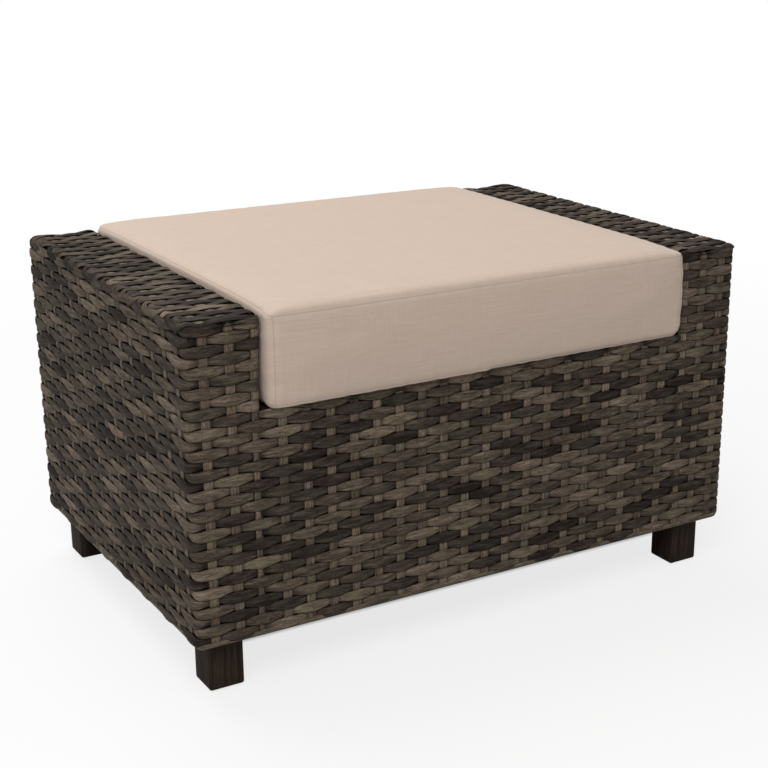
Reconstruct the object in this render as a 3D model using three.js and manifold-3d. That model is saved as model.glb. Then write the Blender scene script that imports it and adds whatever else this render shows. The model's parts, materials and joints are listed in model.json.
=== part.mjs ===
// Outdoor ottoman: a woven wicker box on a welded tube frame, with a lift-out seat cushion between two arms.
// Millimetres, +Z up. X runs from the left arm to the right arm and Y from the front to the back.
// The origin is on the floor, under the centre of the ottoman.
import * as THREE from 'three';
import { mergeVertices } from 'three/addons/utils/BufferGeometryUtils.js';
import Module from 'manifold-3d';

const wasm = await Module();
wasm.setup();

// Driving dimensions of the whole ottoman
const bodyWidth = 760;
const bodyDepth = 520;
const armHeight = 442; // floor to the crests of the arm tops
const seatHeight = 332.5; // floor to the crests of the seat deck
const legClearance = 65; // floor to the bottom edge of the wicker
const armWidth = 90;
const fitGap = 0.3; // running gap between pieces that touch

// Wicker strands
const weaveThickness = 6; // back of the strands to their crests
const weaveRelief = 2.6; // how far a stake lies below the crest of a strand
const weaveCornerRadius = 10;
const weftPitch = 12.2; // aimed height of one row of strands
const frontStakePitch = 29; // aimed spacing of the stakes between the arms
const armStakePitch = 30; // aimed spacing of the stakes on the arms
const sideStakePitch = 32.5; // aimed spacing of the stakes on the sides
const armTopRowPitch = 16.25; // aimed spacing of the rows that cross the arm tops
const deckRowPitch = 32.5; // aimed spacing of the doubled rows on the hidden seat deck
const ridgeHalfShare = 0.3; // flat crest of a strand each side of its stake, as a share of the pitch
const cornerSinkShare = 0.7; // how much of the relief is left where a stake turns a corner
const cornerDepthShare = 0.6; // least thickness behind a rounded corner, as a share of its radius

// Frame of square tubes
const tubeSize = 25;
const tubeWall = 1.5;
const bottomRailLift = 7; // bottom edge of the wicker to the underside of the bottom rails
const crossRailSpacing = 190; // between the two rails under the middle of the seat deck

// Legs, with their plates, bolts and glides
const legSize = 43;
const legInset = 22; // outer face of the body to the outer face of a leg
const legBevel = 2.5;
const plateSize = 74;
const plateThickness = 4;
const boltRadius = 4;
const boltDepth = 36; // how far a bolt reaches into its leg
const boltHeadAcross = 13;
const boltHeadHeight = 5.5;
const glideRadius = 11;
const glideThickness = 2.2;
const glideRimShare = 0.33; // bevel of a glide's rim, as a share of its thickness
const glidePinRadius = 2;
const glidePinLength = 12;
const drillClearance = 0.3; // radial room round a bolt or a pin in its hole

// Seat cushion
const cushionSideGap = 5; // cushion to the inner face of an arm
const cushionOverhang = 12; // how far the front of the cushion stands out past the wicker
const cushionHeight = 108; // height of the boxing between the top and bottom seams
const cushionCrown = 6; // rise of the middle of the top panel
const cushionEdgeRadius = 15;
const cushionDrawIn = 3; // how far the front and the ends pull in between the corners
const cushionBulge = 2; // swell of the boxing at half its height
const coverThickness = 1.2;
const foamGap = 0.3;

// Zip in the back of the cushion cover
const zipEndGap = 45; // end of the zip to the side of the cushion
const tapeHeight = 10;
const tapeThickness = 1;
const chainHeight = 4.8;
const chainStand = 1.6;
const sliderLength = 10;
const sliderPlate = 1.2;
const sliderFlange = 1.5;
const archLength = 6;
const archWidth = 2;
const archBar = 1;
const pullThickness = 1.2;
const pullWidth = 6;
const pullLength = 25;

// Widths and places that follow from the driving dimensions
const halfWidth = bodyWidth / 2;
const halfDepth = bodyDepth / 2;
const bayHalf = halfWidth - armWidth; // half the width of the bay between the arms
const frameInset = weaveThickness + fitGap; // outer face of the wicker to the frame behind it
const roundedWeaveRadius = Math.min(weaveCornerRadius, weaveThickness / cornerDepthShare);

// Colours and finishes
const wickerMaterial = new THREE.MeshStandardMaterial({ color: 0x564a41, roughness: 0.62, metalness: 0 });
const deckMaterial = new THREE.MeshStandardMaterial({ color: 0x4b4038, roughness: 0.65, metalness: 0 });
const tubeMaterial = new THREE.MeshStandardMaterial({ color: 0x2d2825, roughness: 0.5, metalness: 0.4 });
const legMaterial = new THREE.MeshStandardMaterial({ color: 0x33291f, roughness: 0.6, metalness: 0 });
const steelMaterial = new THREE.MeshStandardMaterial({ color: 0xa5a7a8, roughness: 0.35, metalness: 0.9 });
const plasticMaterial = new THREE.MeshStandardMaterial({ color: 0x1c1b1a, roughness: 0.55, metalness: 0 });
const fabricMaterial = new THREE.MeshStandardMaterial({ color: 0xcbb9a8, roughness: 0.9, metalness: 0 });
const foamMaterial = new THREE.MeshStandardMaterial({ color: 0xe9e4d6, roughness: 0.95, metalness: 0 });
const zipMaterial = new THREE.MeshStandardMaterial({ color: 0xb7a48f, roughness: 0.6, metalness: 0 });

const ottoman = new THREE.Group();

function place(name, geometry, material, x = 0, y = 0, z = 0) {
  const mesh = new THREE.Mesh(geometry, material);
  mesh.name = name;
  mesh.position.set(x, y, z);
  ottoman.add(mesh);
  return mesh;
}

// Booleans

function toSolid(geometry) {
  const bare = geometry.clone();
  bare.deleteAttribute('normal');
  bare.deleteAttribute('uv');
  const merged = mergeVertices(bare);
  return new wasm.Manifold(new wasm.Mesh({
    numProp: 3,
    vertProperties: new Float32Array(merged.attributes.position.array),
    triVerts: new Uint32Array(merged.index.array),
  }));
}

function toGeometry(solid) {
  const mesh = solid.getMesh();
  const geometry = new THREE.BufferGeometry();
  geometry.setAttribute('position', new THREE.BufferAttribute(new Float32Array(mesh.vertProperties), 3));
  geometry.setIndex(new THREE.BufferAttribute(new Uint32Array(mesh.triVerts), 1));
  geometry.computeVertexNormals();
  return geometry;
}

// Woven panels

// Even positions that fill a length, as near to the aimed pitch as a whole number of steps allows
function divide(low, high, pitch) {
  const count = Math.max(2, Math.round((high - low) / pitch));
  return Array.from({ length: count + 1 }, (_, k) => low + (high - low) * k / count);
}

function rowCentres(edges) {
  return edges.slice(1).map((edge, k) => (edge + edges[k]) / 2);
}

// How far a rounded edge falls below its face, at a distance from the corner
function edgeFall(distance) {
  const reach = Math.max(0, roundedWeaveRadius - distance);
  return roundedWeaveRadius - Math.sqrt(roundedWeaveRadius ** 2 - reach ** 2);
}

// Cuts a flat outline into triangles, keeping the points that lie in line
function clipEars(outline) {
  const turn = (a, b, c) => (b[0] - a[0]) * (c[1] - a[1]) - (b[1] - a[1]) * (c[0] - a[0]);
  const uncut = outline.map((_, k) => k);
  const triangles = [];
  while (uncut.length > 2) {
    const ear = uncut.findIndex((_, k) => {
      const [a, b, c] = [uncut.at(k - 1), uncut[k], uncut[(k + 1) % uncut.length]].map((n) => outline[n]);
      if (turn(a, b, c) <= 0) return false;
      return uncut.every((n) => {
        const p = outline[n];
        if (p === a || p === b || p === c) return true;
        return turn(a, b, p) < 0 || turn(b, c, p) < 0 || turn(c, a, p) < 0;
      });
    });
    triangles.push([uncut.at(ear - 1), uncut[ear], uncut[(ear + 1) % uncut.length]]);
    uncut.splice(ear, 1);
  }
  return triangles;
}

// A closed panel of plain weave. Stakes stand on the lines in columns and strands run along the lines in
// rows. Each strand crests over every other stake and dives under the next, so a crest is a hipped ridge
// between four low points. corner names the sides of the panel that turn a rounded, mitred corner.
function wovenPanel({ columns, rows, low, high, corner, firstRow = 0 }) {
  const lastColumn = columns.length - 1;
  const span = [columns[0], columns[lastColumn]];
  const points = [];
  const faces = [];
  const add = (s, t, n) => points.push([s, t, n]) - 1;
  const isCrest = (i, j) => (i + j + firstRow) % 2 !== 0;
  const edgeMid = roundedWeaveRadius * (1 - Math.SQRT1_2);
  const tripleMid = roundedWeaveRadius * (1 - 1 / Math.sqrt(3));

  const fallAt = (s, t) => {
    let fall = 0;
    if (corner.left) fall += edgeFall(s - span[0]);
    if (corner.right) fall += edgeFall(span[1] - s);
    if (corner.bottom) fall += edgeFall(t - low);
    if (corner.top) fall += edgeFall(high - t);
    return fall;
  };
  const sideFall = (mitred, crest) => {
    if (!mitred) return crest ? 0 : weaveRelief;
    return edgeMid + (crest ? 0 : weaveRelief * cornerSinkShare);
  };
  const inward = (mitred, depth) => (mitred ? depth + fitGap / 2 : 0);
  const sideX = (atLeft, depth) => (atLeft
    ? span[0] + inward(corner.left, depth) : span[1] - inward(corner.right, depth));
  const edgeZ = (atBottom, depth) => (atBottom
    ? low + inward(corner.bottom, depth) : high - inward(corner.top, depth));

  // Low points and crest ends, row by row, with a plain row of points along the bottom and top edges
  const lowPoint = new Map();
  const ridge = new Map();
  const key = (i, j) => `${i},${j}`;
  rows.forEach((t, j) => {
    for (let i = 0; i <= lastColumn; i += 1) {
      const atLeft = i === 0;
      const atSide = atLeft || i === lastColumn;
      const crest = isCrest(i, j);
      const s = columns[i];
      const before = atLeft ? 0 : (s - columns[i - 1]) * ridgeHalfShare;
      const after = i === lastColumn ? 0 : (columns[i + 1] - s) * ridgeHalfShare;
      if (atSide) {
        const depth = sideFall(atLeft ? corner.left : corner.right, crest);
        const border = add(sideX(atLeft, depth), t, -depth);
        if (!crest) lowPoint.set(key(i, j), border);
        const inner = atLeft ? s + after : s - before;
        if (crest) {
          const end = add(inner, t, -fallAt(inner, t));
          ridge.set(key(i, j), atLeft ? [border, end] : [end, border]);
        }
      } else if (crest) {
        const ends = [s - before, s + after].map((end) => add(end, t, -fallAt(end, t)));
        ridge.set(key(i, j), ends);
      } else {
        lowPoint.set(key(i, j), add(s, t, -weaveRelief - fallAt(s, t)));
      }
    }
  });
  for (const [atBottom, j] of [[true, -1], [false, rows.length]]) {
    const edgeTurned = atBottom ? corner.bottom : corner.top;
    for (let i = 0; i <= lastColumn; i += 1) {
      const atLeft = i === 0;
      const atSide = atLeft || i === lastColumn;
      const sideTurned = atSide && (atLeft ? corner.left : corner.right);
      if (atSide) {
        const bothTurned = edgeTurned && sideTurned;
        const depth = bothTurned ? tripleMid : (edgeTurned || sideTurned ? edgeMid : weaveRelief);
        lowPoint.set(key(i, j), add(sideX(atLeft, depth), edgeZ(atBottom, depth), -depth));
      } else if (!isCrest(i, j)) {
        const depth = edgeTurned ? edgeMid : weaveRelief;
        lowPoint.set(key(i, j), add(columns[i], edgeZ(atBottom, depth), -depth));
      }
    }
  }

  // Hipped crests
  for (const [spot, [start, end]] of ridge) {
    const [i, j] = spot.split(',').map(Number);
    const above = lowPoint.get(key(i, j + 1));
    const below = lowPoint.get(key(i, j - 1));
    faces.push([start, end, above], [start, below, end]);
    if (i < lastColumn) {
      const next = lowPoint.get(key(i + 1, j));
      faces.push([end, next, above], [end, below, next]);
    }
    if (i > 0) {
      const previous = lowPoint.get(key(i - 1, j));
      faces.push([start, above, previous], [start, previous, below]);
    }
  }

  // Slopes between the outermost low points and the panel's bottom and top edges
  for (const [j, inner, flip] of [[-1, 0, true], [rows.length, rows.length - 1, false]]) {
    for (let i = 0; i <= lastColumn; i += 1) {
      if (isCrest(i, j)) {
        const middle = lowPoint.get(key(i, inner));
        const a = lowPoint.get(key(Math.max(i - 1, 0), j));
        const b = lowPoint.get(key(Math.min(i + 1, lastColumn), j));
        faces.push(flip ? [middle, a, b] : [middle, b, a]);
      }
    }
  }

  // Flat back and the four walls that join it to the woven face
  const backDepth = weaveThickness;
  const backLeft = span[0] + inward(corner.left, backDepth);
  const backRight = span[1] - inward(corner.right, backDepth);
  const backLow = low + inward(corner.bottom, backDepth);
  const backHigh = high - inward(corner.top, backDepth);
  const back = [[backLeft, backLow], [backRight, backLow], [backRight, backHigh], [backLeft, backHigh]]
    .map(([s, t]) => add(s, t, -backDepth));
  faces.push([back[0], back[2], back[1]], [back[0], back[3], back[2]]);
  const addWall = (border, from, to, flatAxis) => {
    const loop = [from, to, ...border];
    const outline = loop.map((n) => [points[n][flatAxis], points[n][2]]);
    const area = outline.reduce((sum, p, k) => {
      const q = outline[(k + 1) % outline.length];
      return sum + p[0] * q[1] - q[0] * p[1];
    }, 0);
    const facing = area < 0 ? outline.map(([a, b]) => [-a, b]) : outline;
    clipEars(facing).forEach((t) => faces.push(t.map((k) => loop[k])));
  };
  const sideBorder = (i) => {
    const border = [];
    for (let j = -1; j <= rows.length; j += 1) {
      const crest = ridge.get(key(i, j));
      border.push(crest ? crest[i === 0 ? 0 : 1] : lowPoint.get(key(i, j)));
    }
    return border;
  };
  const edgeBorder = (j) => {
    const border = [];
    for (let i = 0; i <= lastColumn; i += 1) {
      if (lowPoint.has(key(i, j))) border.push(lowPoint.get(key(i, j)));
    }
    return border;
  };
  addWall(sideBorder(0), back[3], back[0], 1);
  addWall(sideBorder(lastColumn).reverse(), back[1], back[2], 1);
  addWall(edgeBorder(-1).reverse(), back[0], back[1], 0);
  addWall(edgeBorder(rows.length), back[2], back[3], 0);
  return { points, faces };
}

// Stands a panel up in space. across, up and outward are the directions in which its stakes are spaced, its
// rows climb and its face looks.
function standPanel(panel, { origin, across, up, outward }) {
  const mirrored = across.clone().cross(up).dot(outward) < 0;
  const positions = panel.points.flatMap(([s, t, n]) => origin.clone()
    .addScaledVector(across, s).addScaledVector(up, t).addScaledVector(outward, n).toArray());
  const index = panel.faces.flatMap(([a, b, c]) => (mirrored ? [a, c, b] : [a, b, c]));
  const geometry = new THREE.BufferGeometry();
  geometry.setAttribute('position', new THREE.BufferAttribute(new Float32Array(positions), 3));
  geometry.setIndex(index);
  geometry.computeVertexNormals();
  return geometry;
}

const right = new THREE.Vector3(1, 0, 0);
const rearward = new THREE.Vector3(0, 1, 0);
const upward = new THREE.Vector3(0, 0, 1);
const left = right.clone().negate();
const forward = rearward.clone().negate();
const at = (x, y, z) => new THREE.Vector3(x, y, z);

const armStakes = divide(bayHalf, halfWidth, armStakePitch);
const bayStakes = divide(-bayHalf, bayHalf, frontStakePitch);
const frontStakes = [
  ...armStakes.map((x) => -x).reverse(), ...bayStakes.slice(1, -1), ...armStakes,
];
const sideStakes = divide(-halfDepth, halfDepth, sideStakePitch);
const lowerRowEdges = divide(legClearance, seatHeight, weftPitch);
const upperRowEdges = divide(seatHeight, armHeight, weftPitch);
const lowerRows = rowCentres(lowerRowEdges);
const upperRows = rowCentres(upperRowEdges);
const armTopRows = rowCentres(divide(-halfDepth, halfDepth, armTopRowPitch));

// Row counts that keep over and under in step where the panels of an arm meet the front and each other
const armFirstRow = lowerRows.length + armStakes.length - 1;
const armTopFirstRow = armFirstRow + upperRows.length;

for (const [name, y, across, outward] of [
  ['front', -halfDepth, right, forward], ['back', halfDepth, right, rearward],
]) {
  const lower = wovenPanel({
    columns: frontStakes, rows: lowerRows, low: legClearance, high: seatHeight,
    corner: { left: true, right: true, bottom: true, top: false },
  });
  const lowerStance = { origin: at(0, y, 0), across, up: upward, outward };
  place(`${name}_weave`, standPanel(lower, lowerStance), wickerMaterial);
  for (const [side, direction] of [['left', left], ['right', right]]) {
    const armFace = wovenPanel({
      columns: armStakes, rows: upperRows, low: seatHeight + fitGap, high: armHeight,
      corner: { left: true, right: true, bottom: false, top: true }, firstRow: armFirstRow,
    });
    const stance = { origin: at(0, y, 0), across: direction, up: upward, outward };
    place(`${side}_arm_${name}_weave`, standPanel(armFace, stance), wickerMaterial);
  }
}

for (const [side, direction] of [['left', left], ['right', right]]) {
  const outerFace = wovenPanel({
    columns: sideStakes, rows: [...lowerRows, ...upperRows], low: legClearance, high: armHeight,
    corner: { left: true, right: true, bottom: true, top: true },
  });
  const outerX = direction.x * halfWidth;
  const innerX = direction.x * bayHalf;
  const outerStance = { origin: at(outerX, 0, 0), across: rearward, up: upward, outward: direction };
  place(`${side}_side_weave`, standPanel(outerFace, outerStance), wickerMaterial);

  const innerFace = wovenPanel({
    columns: sideStakes, rows: upperRows, low: seatHeight + fitGap, high: armHeight,
    corner: { left: true, right: true, bottom: false, top: true }, firstRow: armFirstRow,
  });
  const inwardFace = direction.clone().negate();
  const innerStance = { origin: at(innerX, 0, 0), across: rearward, up: upward, outward: inwardFace };
  place(`${side}_arm_inner_weave`, standPanel(innerFace, innerStance), wickerMaterial);

  const topFace = wovenPanel({
    columns: armStakes, rows: armTopRows, low: -halfDepth, high: halfDepth,
    corner: { left: true, right: true, bottom: true, top: true }, firstRow: armTopFirstRow,
  });
  const topStance = { origin: at(0, 0, armHeight), across: direction, up: rearward, outward: upward };
  place(`${side}_arm_top_weave`, standPanel(topFace, topStance), wickerMaterial);
}

const deckHalfWidth = bayHalf + weaveThickness - fitGap;
const deckHalfDepth = halfDepth - weaveThickness - fitGap;
const deck = wovenPanel({
  columns: [-deckHalfWidth, ...bayStakes.slice(1, -1), deckHalfWidth],
  rows: rowCentres(divide(-deckHalfDepth, deckHalfDepth, deckRowPitch)),
  low: -deckHalfDepth, high: deckHalfDepth,
  corner: { left: false, right: false, bottom: false, top: false },
});
const deckStance = { origin: at(0, 0, seatHeight), across: right, up: rearward, outward: upward };
place('seat_deck_weave', standPanel(deck, deckStance), deckMaterial);

// Welded frame

// A square tube that fills the space from low to high along one axis, centred on the other two
function squareTube(name, axis, low, high, centre) {
  const half = tubeSize / 2;
  const inner = half - tubeWall;
  const square = (h) => [[-h, -h], [h, -h], [h, h], [-h, h]].map(([a, b]) => new THREE.Vector2(a, b));
  const section = new THREE.Shape(square(half));
  section.holes.push(new THREE.Path(square(inner)));
  const geometry = new THREE.ExtrudeGeometry(section, { depth: high - low, bevelEnabled: false, steps: 1 });
  if (axis === 'x') geometry.rotateY(Math.PI / 2);
  if (axis === 'y') geometry.rotateX(-Math.PI / 2);
  const position = { ...centre, [axis]: low };
  place(name, geometry, tubeMaterial, position.x, position.y, position.z);
}

const postX = halfWidth - frameInset - tubeSize / 2;
const postY = halfDepth - frameInset - tubeSize / 2;
const innerPostX = bayHalf + frameInset + tubeSize / 2 - fitGap;
const bottomRailLow = legClearance + bottomRailLift;
const bottomRailZ = bottomRailLow + tubeSize / 2;
const frameTop = armHeight - frameInset;
const armRailZ = frameTop - tubeSize / 2;
const seatRailZ = seatHeight - frameInset - tubeSize / 2;
const buttX = postX - tubeSize / 2 - fitGap;
const buttY = postY - tubeSize / 2 - fitGap;
const seatSideRailX = deckHalfWidth - tubeSize / 2 - fitGap;

for (const [side, sx] of [['left', -1], ['right', 1]]) {
  for (const [end, sy] of [['front', -1], ['back', 1]]) {
    const y = sy * postY;
    squareTube(`post_${end}_${side}`, 'z', bottomRailLow, frameTop, { x: sx * postX, y });
    const standOn = bottomRailLow + tubeSize + fitGap;
    squareTube(`inner_post_${end}_${side}`, 'z', standOn, frameTop, { x: sx * innerPostX, y });
    const endRail = [sx * (innerPostX + tubeSize / 2 + fitGap), sx * buttX].sort((a, b) => a - b);
    squareTube(`arm_end_rail_${end}_${side}`, 'x', ...endRail, { y, z: armRailZ });
  }
  squareTube(`arm_outer_rail_${side}`, 'y', -buttY, buttY, { x: sx * postX, z: armRailZ });
  squareTube(`arm_inner_rail_${side}`, 'y', -buttY, buttY, { x: sx * innerPostX, z: armRailZ });
  squareTube(`bottom_rail_${side}`, 'y', -buttY, buttY, { x: sx * postX, z: bottomRailZ });
  squareTube(`seat_rail_${side}`, 'y', -buttY, buttY, { x: sx * seatSideRailX, z: seatRailZ });
  squareTube(`seat_cross_rail_${side}`, 'y', -buttY, buttY, { x: sx * crossRailSpacing / 2, z: seatRailZ });
}
const seatButtX = innerPostX - tubeSize / 2 - fitGap;
for (const [end, sy] of [['front', -1], ['back', 1]]) {
  squareTube(`bottom_rail_${end}`, 'x', -buttX, buttX, { y: sy * postY, z: bottomRailZ });
  squareTube(`seat_rail_${end}`, 'x', -seatButtX, seatButtX, { y: sy * postY, z: seatRailZ });
}

// Legs, each on a welded plate, with its bolt and its glide

const plateTop = bottomRailLow - fitGap;
const plateLow = plateTop - plateThickness;
const legTop = plateLow - fitGap;
const legLow = glideThickness + fitGap;
const cutOverrun = 1;
const roundSides = 16;

function drill(solid, radius, low, high) {
  const tool = new THREE.CylinderGeometry(radius, radius, high - low, roundSides);
  tool.rotateX(Math.PI / 2);
  tool.translate(0, 0, (low + high) / 2);
  return solid.subtract(toSolid(tool));
}

function legGeometry() {
  const half = legSize / 2 - legBevel;
  const outline = new THREE.Shape([[-half, -half], [half, -half], [half, half], [-half, half]]
    .map(([x, y]) => new THREE.Vector2(x, y)));
  const block = new THREE.ExtrudeGeometry(outline, {
    depth: legTop - legLow - 2 * legBevel, bevelEnabled: true, bevelThickness: legBevel, bevelSize: legBevel,
    bevelSegments: 2, steps: 1,
  });
  block.translate(0, 0, legLow + legBevel);
  let solid = toSolid(block);
  const pinHoleTop = legLow + glidePinLength + fitGap;
  solid = drill(solid, boltRadius + drillClearance, legTop - boltDepth - fitGap, legTop + cutOverrun);
  solid = drill(solid, glidePinRadius + drillClearance, legLow - cutOverrun, pinHoleTop);
  return toGeometry(solid);
}

function plateGeometry() {
  const plate = new THREE.BoxGeometry(plateSize, plateSize, plateThickness);
  plate.translate(0, 0, plateLow + plateThickness / 2);
  return toSolid(plate);
}

// A turned outline from the floor side up, given as radius and height pairs
function turned(outline, sides) {
  const profile = outline.map(([radius, height]) => new THREE.Vector2(radius, height));
  const geometry = new THREE.LatheGeometry(profile, sides);
  geometry.rotateX(Math.PI / 2);
  return geometry;
}

function boltGeometry() {
  const headSides = 6;
  const headLow = plateTop + fitGap;
  const headRadius = boltHeadAcross / Math.sqrt(3);
  const head = new THREE.CylinderGeometry(headRadius, headRadius, boltHeadHeight, headSides);
  head.rotateX(Math.PI / 2);
  head.translate(0, 0, headLow + boltHeadHeight / 2);
  const shankLow = legTop - boltDepth;
  const shankHigh = headLow + boltHeadHeight / 2;
  const shank = new THREE.CylinderGeometry(boltRadius, boltRadius, shankHigh - shankLow, roundSides);
  shank.rotateX(Math.PI / 2);
  shank.translate(0, 0, (shankHigh + shankLow) / 2);
  return toGeometry(toSolid(head).add(toSolid(shank)));
}

function glideGeometry() {
  const rim = glideThickness * glideRimShare;
  const pinTop = legLow + glidePinLength;
  return turned([
    [0, 0], [glideRadius - rim, 0], [glideRadius, rim], [glideRadius, glideThickness],
    [glidePinRadius, glideThickness], [glidePinRadius, pinTop - glidePinRadius], [0, pinTop],
  ], roundSides);
}

const legX = halfWidth - legInset - legSize / 2;
const legY = halfDepth - legInset - legSize / 2;
const plateX = halfWidth - frameInset - plateSize / 2;
const plateY = halfDepth - frameInset - plateSize / 2;
for (const [side, sx] of [['left', -1], ['right', 1]]) {
  for (const [end, sy] of [['front', -1], ['back', 1]]) {
    place(`leg_${end}_${side}`, legGeometry(), legMaterial, sx * legX, sy * legY);
    place(`leg_bolt_${end}_${side}`, boltGeometry(), steelMaterial, sx * legX, sy * legY);
    place(`glide_${end}_${side}`, glideGeometry(), plasticMaterial, sx * legX, sy * legY);
    const offsetX = sx * (legX - plateX);
    const offsetY = sy * (legY - plateY);
    const holed = drill(plateGeometry().translate([-offsetX, -offsetY, 0]), boltRadius + drillClearance,
      plateLow - cutOverrun, plateTop + cutOverrun);
    place(`leg_plate_${end}_${side}`, toGeometry(holed), tubeMaterial, sx * legX, sy * legY);
  }
}

// Seat cushion

const tapeSeat = coverThickness - tapeThickness; // cover's outer face to the tape's outer face
const sliderLow = fitGap; // tape's outer face to the slider's flanges
const sliderHigh = chainStand + fitGap + sliderPlate;
const pullAxis = sliderHigh + fitGap + pullThickness / 2;
const archHigh = pullAxis + pullThickness / 2 + 2 * fitGap + archBar;
const cushionBackOverhang = cushionOverhang - (archHigh - tapeSeat);
const cushionHalfWidth = bayHalf - cushionSideGap;
const zipLength = 2 * (cushionHalfWidth - zipEndGap);
const cushionFront = -halfDepth - cushionOverhang;
const cushionBack = halfDepth + cushionBackOverhang;
const cushionLow = seatHeight + fitGap;
const cushionMidZ = cushionLow + cushionHeight / 2;
const cushionMidY = (cushionFront + cushionBack) / 2;
const cushionFlatSteps = [6, 6, 2]; // steps along X, Y and Z between the rounded edges
const coverArcSteps = 2;
const foamArcSteps = 1;
const wallPower = 5; // how fast the changes to a wall fade towards the middle of the cushion

// Positions along one side of the cushion: arcSteps round each edge and flatSteps between them
function edgeSteps(half, radius, arcSteps, flatSteps) {
  const arc = Array.from({ length: arcSteps + 1 }, (_, k) => half - radius * (1 - k / arcSteps)).reverse();
  const flat = divide(-(half - radius), half - radius, 2 * (half - radius) / flatSteps).slice(1, -1);
  return [...arc.map((v) => -v), ...flat, ...arc.reverse()];
}

// The padded shape, shrunk by inset on every side: a box with round edges, a crowned top, boxing that swells
// at half its height, and a front and ends that pull in between the corners
function paddedGeometry(inset, arcSteps) {
  const halfDepthOfPad = (cushionBack - cushionFront) / 2;
  const half = [
    cushionHalfWidth - cushionBulge - inset,
    halfDepthOfPad - cushionBulge - inset,
    cushionHeight / 2 - inset,
  ];
  const radius = cushionEdgeRadius - inset;
  const steps = half.map((h, axis) => edgeSteps(h, radius, arcSteps, cushionFlatSteps[axis]));
  const counts = steps.map((s) => s.length - 1);
  const geometry = new THREE.BoxGeometry(...counts, ...counts);
  const position = geometry.attributes.position;
  const point = new THREE.Vector3();
  const core = new THREE.Vector3();
  const limit = new THREE.Vector3(...half.map((h) => h - radius));
  for (let k = 0; k < position.count; k += 1) {
    point.fromBufferAttribute(position, k);
    const stepAt = (v, axis) => steps[axis][Math.round(v + counts[axis] / 2)];
    point.set(stepAt(point.x, 0), stepAt(point.y, 1), stepAt(point.z, 2));
    core.copy(point).clamp(limit.clone().negate(), limit);
    point.sub(core).normalize().multiplyScalar(radius).add(core);
    const [u, v, w] = [point.x / half[0], point.y / half[1], point.z / half[2]];
    const swell = cushionBulge * (1 - w ** 2);
    const endsIn = cushionDrawIn * (1 - v ** 2) * u ** wallPower;
    const frontIn = cushionDrawIn * (1 - u ** 2) * Math.min(v, 0) ** wallPower;
    const rise = w > 0 ? cushionCrown * (1 - u ** 2) * (1 - v ** 2) * w : 0;
    point.x += swell * u ** wallPower - endsIn;
    point.y += swell * v ** wallPower - frontIn;
    point.z += rise;
    position.setXYZ(k, point.x, point.y + cushionMidY, point.z + cushionMidZ);
  }
  return geometry;
}

function boxSolid(sizeX, sizeY, sizeZ, x, y, z) {
  const box = new THREE.BoxGeometry(sizeX, sizeY, sizeZ);
  box.translate(x, y, z);
  return toSolid(box);
}

const slotDepth = coverThickness + 2 * cutOverrun;
const slot = boxSolid(zipLength + 2 * fitGap, slotDepth, tapeHeight + 2 * fitGap,
  0, cushionBack - coverThickness / 2, cushionMidZ);
const coverOuter = toSolid(paddedGeometry(0, coverArcSteps));
const coverInner = toSolid(paddedGeometry(coverThickness, coverArcSteps));
place('cushion_cover', toGeometry(coverOuter.subtract(coverInner).subtract(slot)), fabricMaterial);
place('foam_core', paddedGeometry(coverThickness + foamGap, foamArcSteps), foamMaterial);

// Zip: its tape and chain in the slot, the slider over the chain, and the pull through the slider's arch

const tapeFace = cushionBack - tapeSeat;

// Extrudes an outline in the plane of outward and up, centred on its length along X
function alongX(outline, length) {
  const shape = new THREE.Shape(outline.map(([outward, up]) => new THREE.Vector2(outward, up)));
  const geometry = new THREE.ExtrudeGeometry(shape, { depth: length, bevelEnabled: false, steps: 1 });
  geometry.translate(0, 0, -length / 2);
  return geometry.applyMatrix4(new THREE.Matrix4().makeBasis(rearward, upward, right));
}

const chainHalf = chainHeight / 2;
const tapeHalf = tapeHeight / 2;
place('zip_tape', alongX([
  [-tapeThickness, -tapeHalf], [0, -tapeHalf], [0, -chainHalf], [chainStand, -chainHalf],
  [chainStand, chainHalf], [0, chainHalf], [0, tapeHalf], [-tapeThickness, tapeHalf],
], zipLength), zipMaterial, 0, tapeFace, cushionMidZ);

const sliderInner = chainHalf + fitGap;
const sliderOuter = sliderInner + sliderFlange;
const sliderUnder = chainStand + fitGap;
const sliderShell = alongX([
  [sliderLow, -sliderOuter], [sliderHigh, -sliderOuter],
  [sliderHigh, sliderOuter], [sliderLow, sliderOuter],
  [sliderLow, sliderInner], [sliderUnder, sliderInner],
  [sliderUnder, -sliderInner], [sliderLow, -sliderInner],
], sliderLength);
const archLow = sliderHigh - sliderPlate / 2;
const arch = boxSolid(archLength, archHigh - archLow, archWidth, 0, (archHigh + archLow) / 2, 0);
const archHoleHigh = archHigh - archBar;
const archHole = boxSolid(archLength - 2 * archBar, archHoleHigh - sliderHigh, archWidth + 2 * cutOverrun,
  0, (archHoleHigh + sliderHigh) / 2, 0);
const sliderX = (zipLength - sliderLength) / 2;
const sliderSolid = toSolid(sliderShell).add(arch.subtract(archHole));
place('zip_slider', toGeometry(sliderSolid), steelMaterial, sliderX, tapeFace, cushionMidZ);

const pullBarHalf = pullThickness / 2;
const pullEyeEnd = Math.hypot(archLength / 2, archHigh - pullAxis) + fitGap; // clears the arch at any angle
const pullEyeHalf = archWidth / 2 + fitGap;
const pullPlate = boxSolid(pullLength + pullBarHalf, pullThickness, pullWidth,
  (pullBarHalf - pullLength) / 2, 0, 0);
const pullEye = boxSolid(pullEyeEnd - pullBarHalf, pullThickness + 2 * cutOverrun, 2 * pullEyeHalf,
  -(pullEyeEnd + pullBarHalf) / 2, 0, 0);
const pullSolid = pullPlate.subtract(pullEye);
place('zip_pull', toGeometry(pullSolid), steelMaterial, sliderX, tapeFace + pullAxis, cushionMidZ);

export default ottoman;
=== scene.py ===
import itertools
import json
import math
import random

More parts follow.
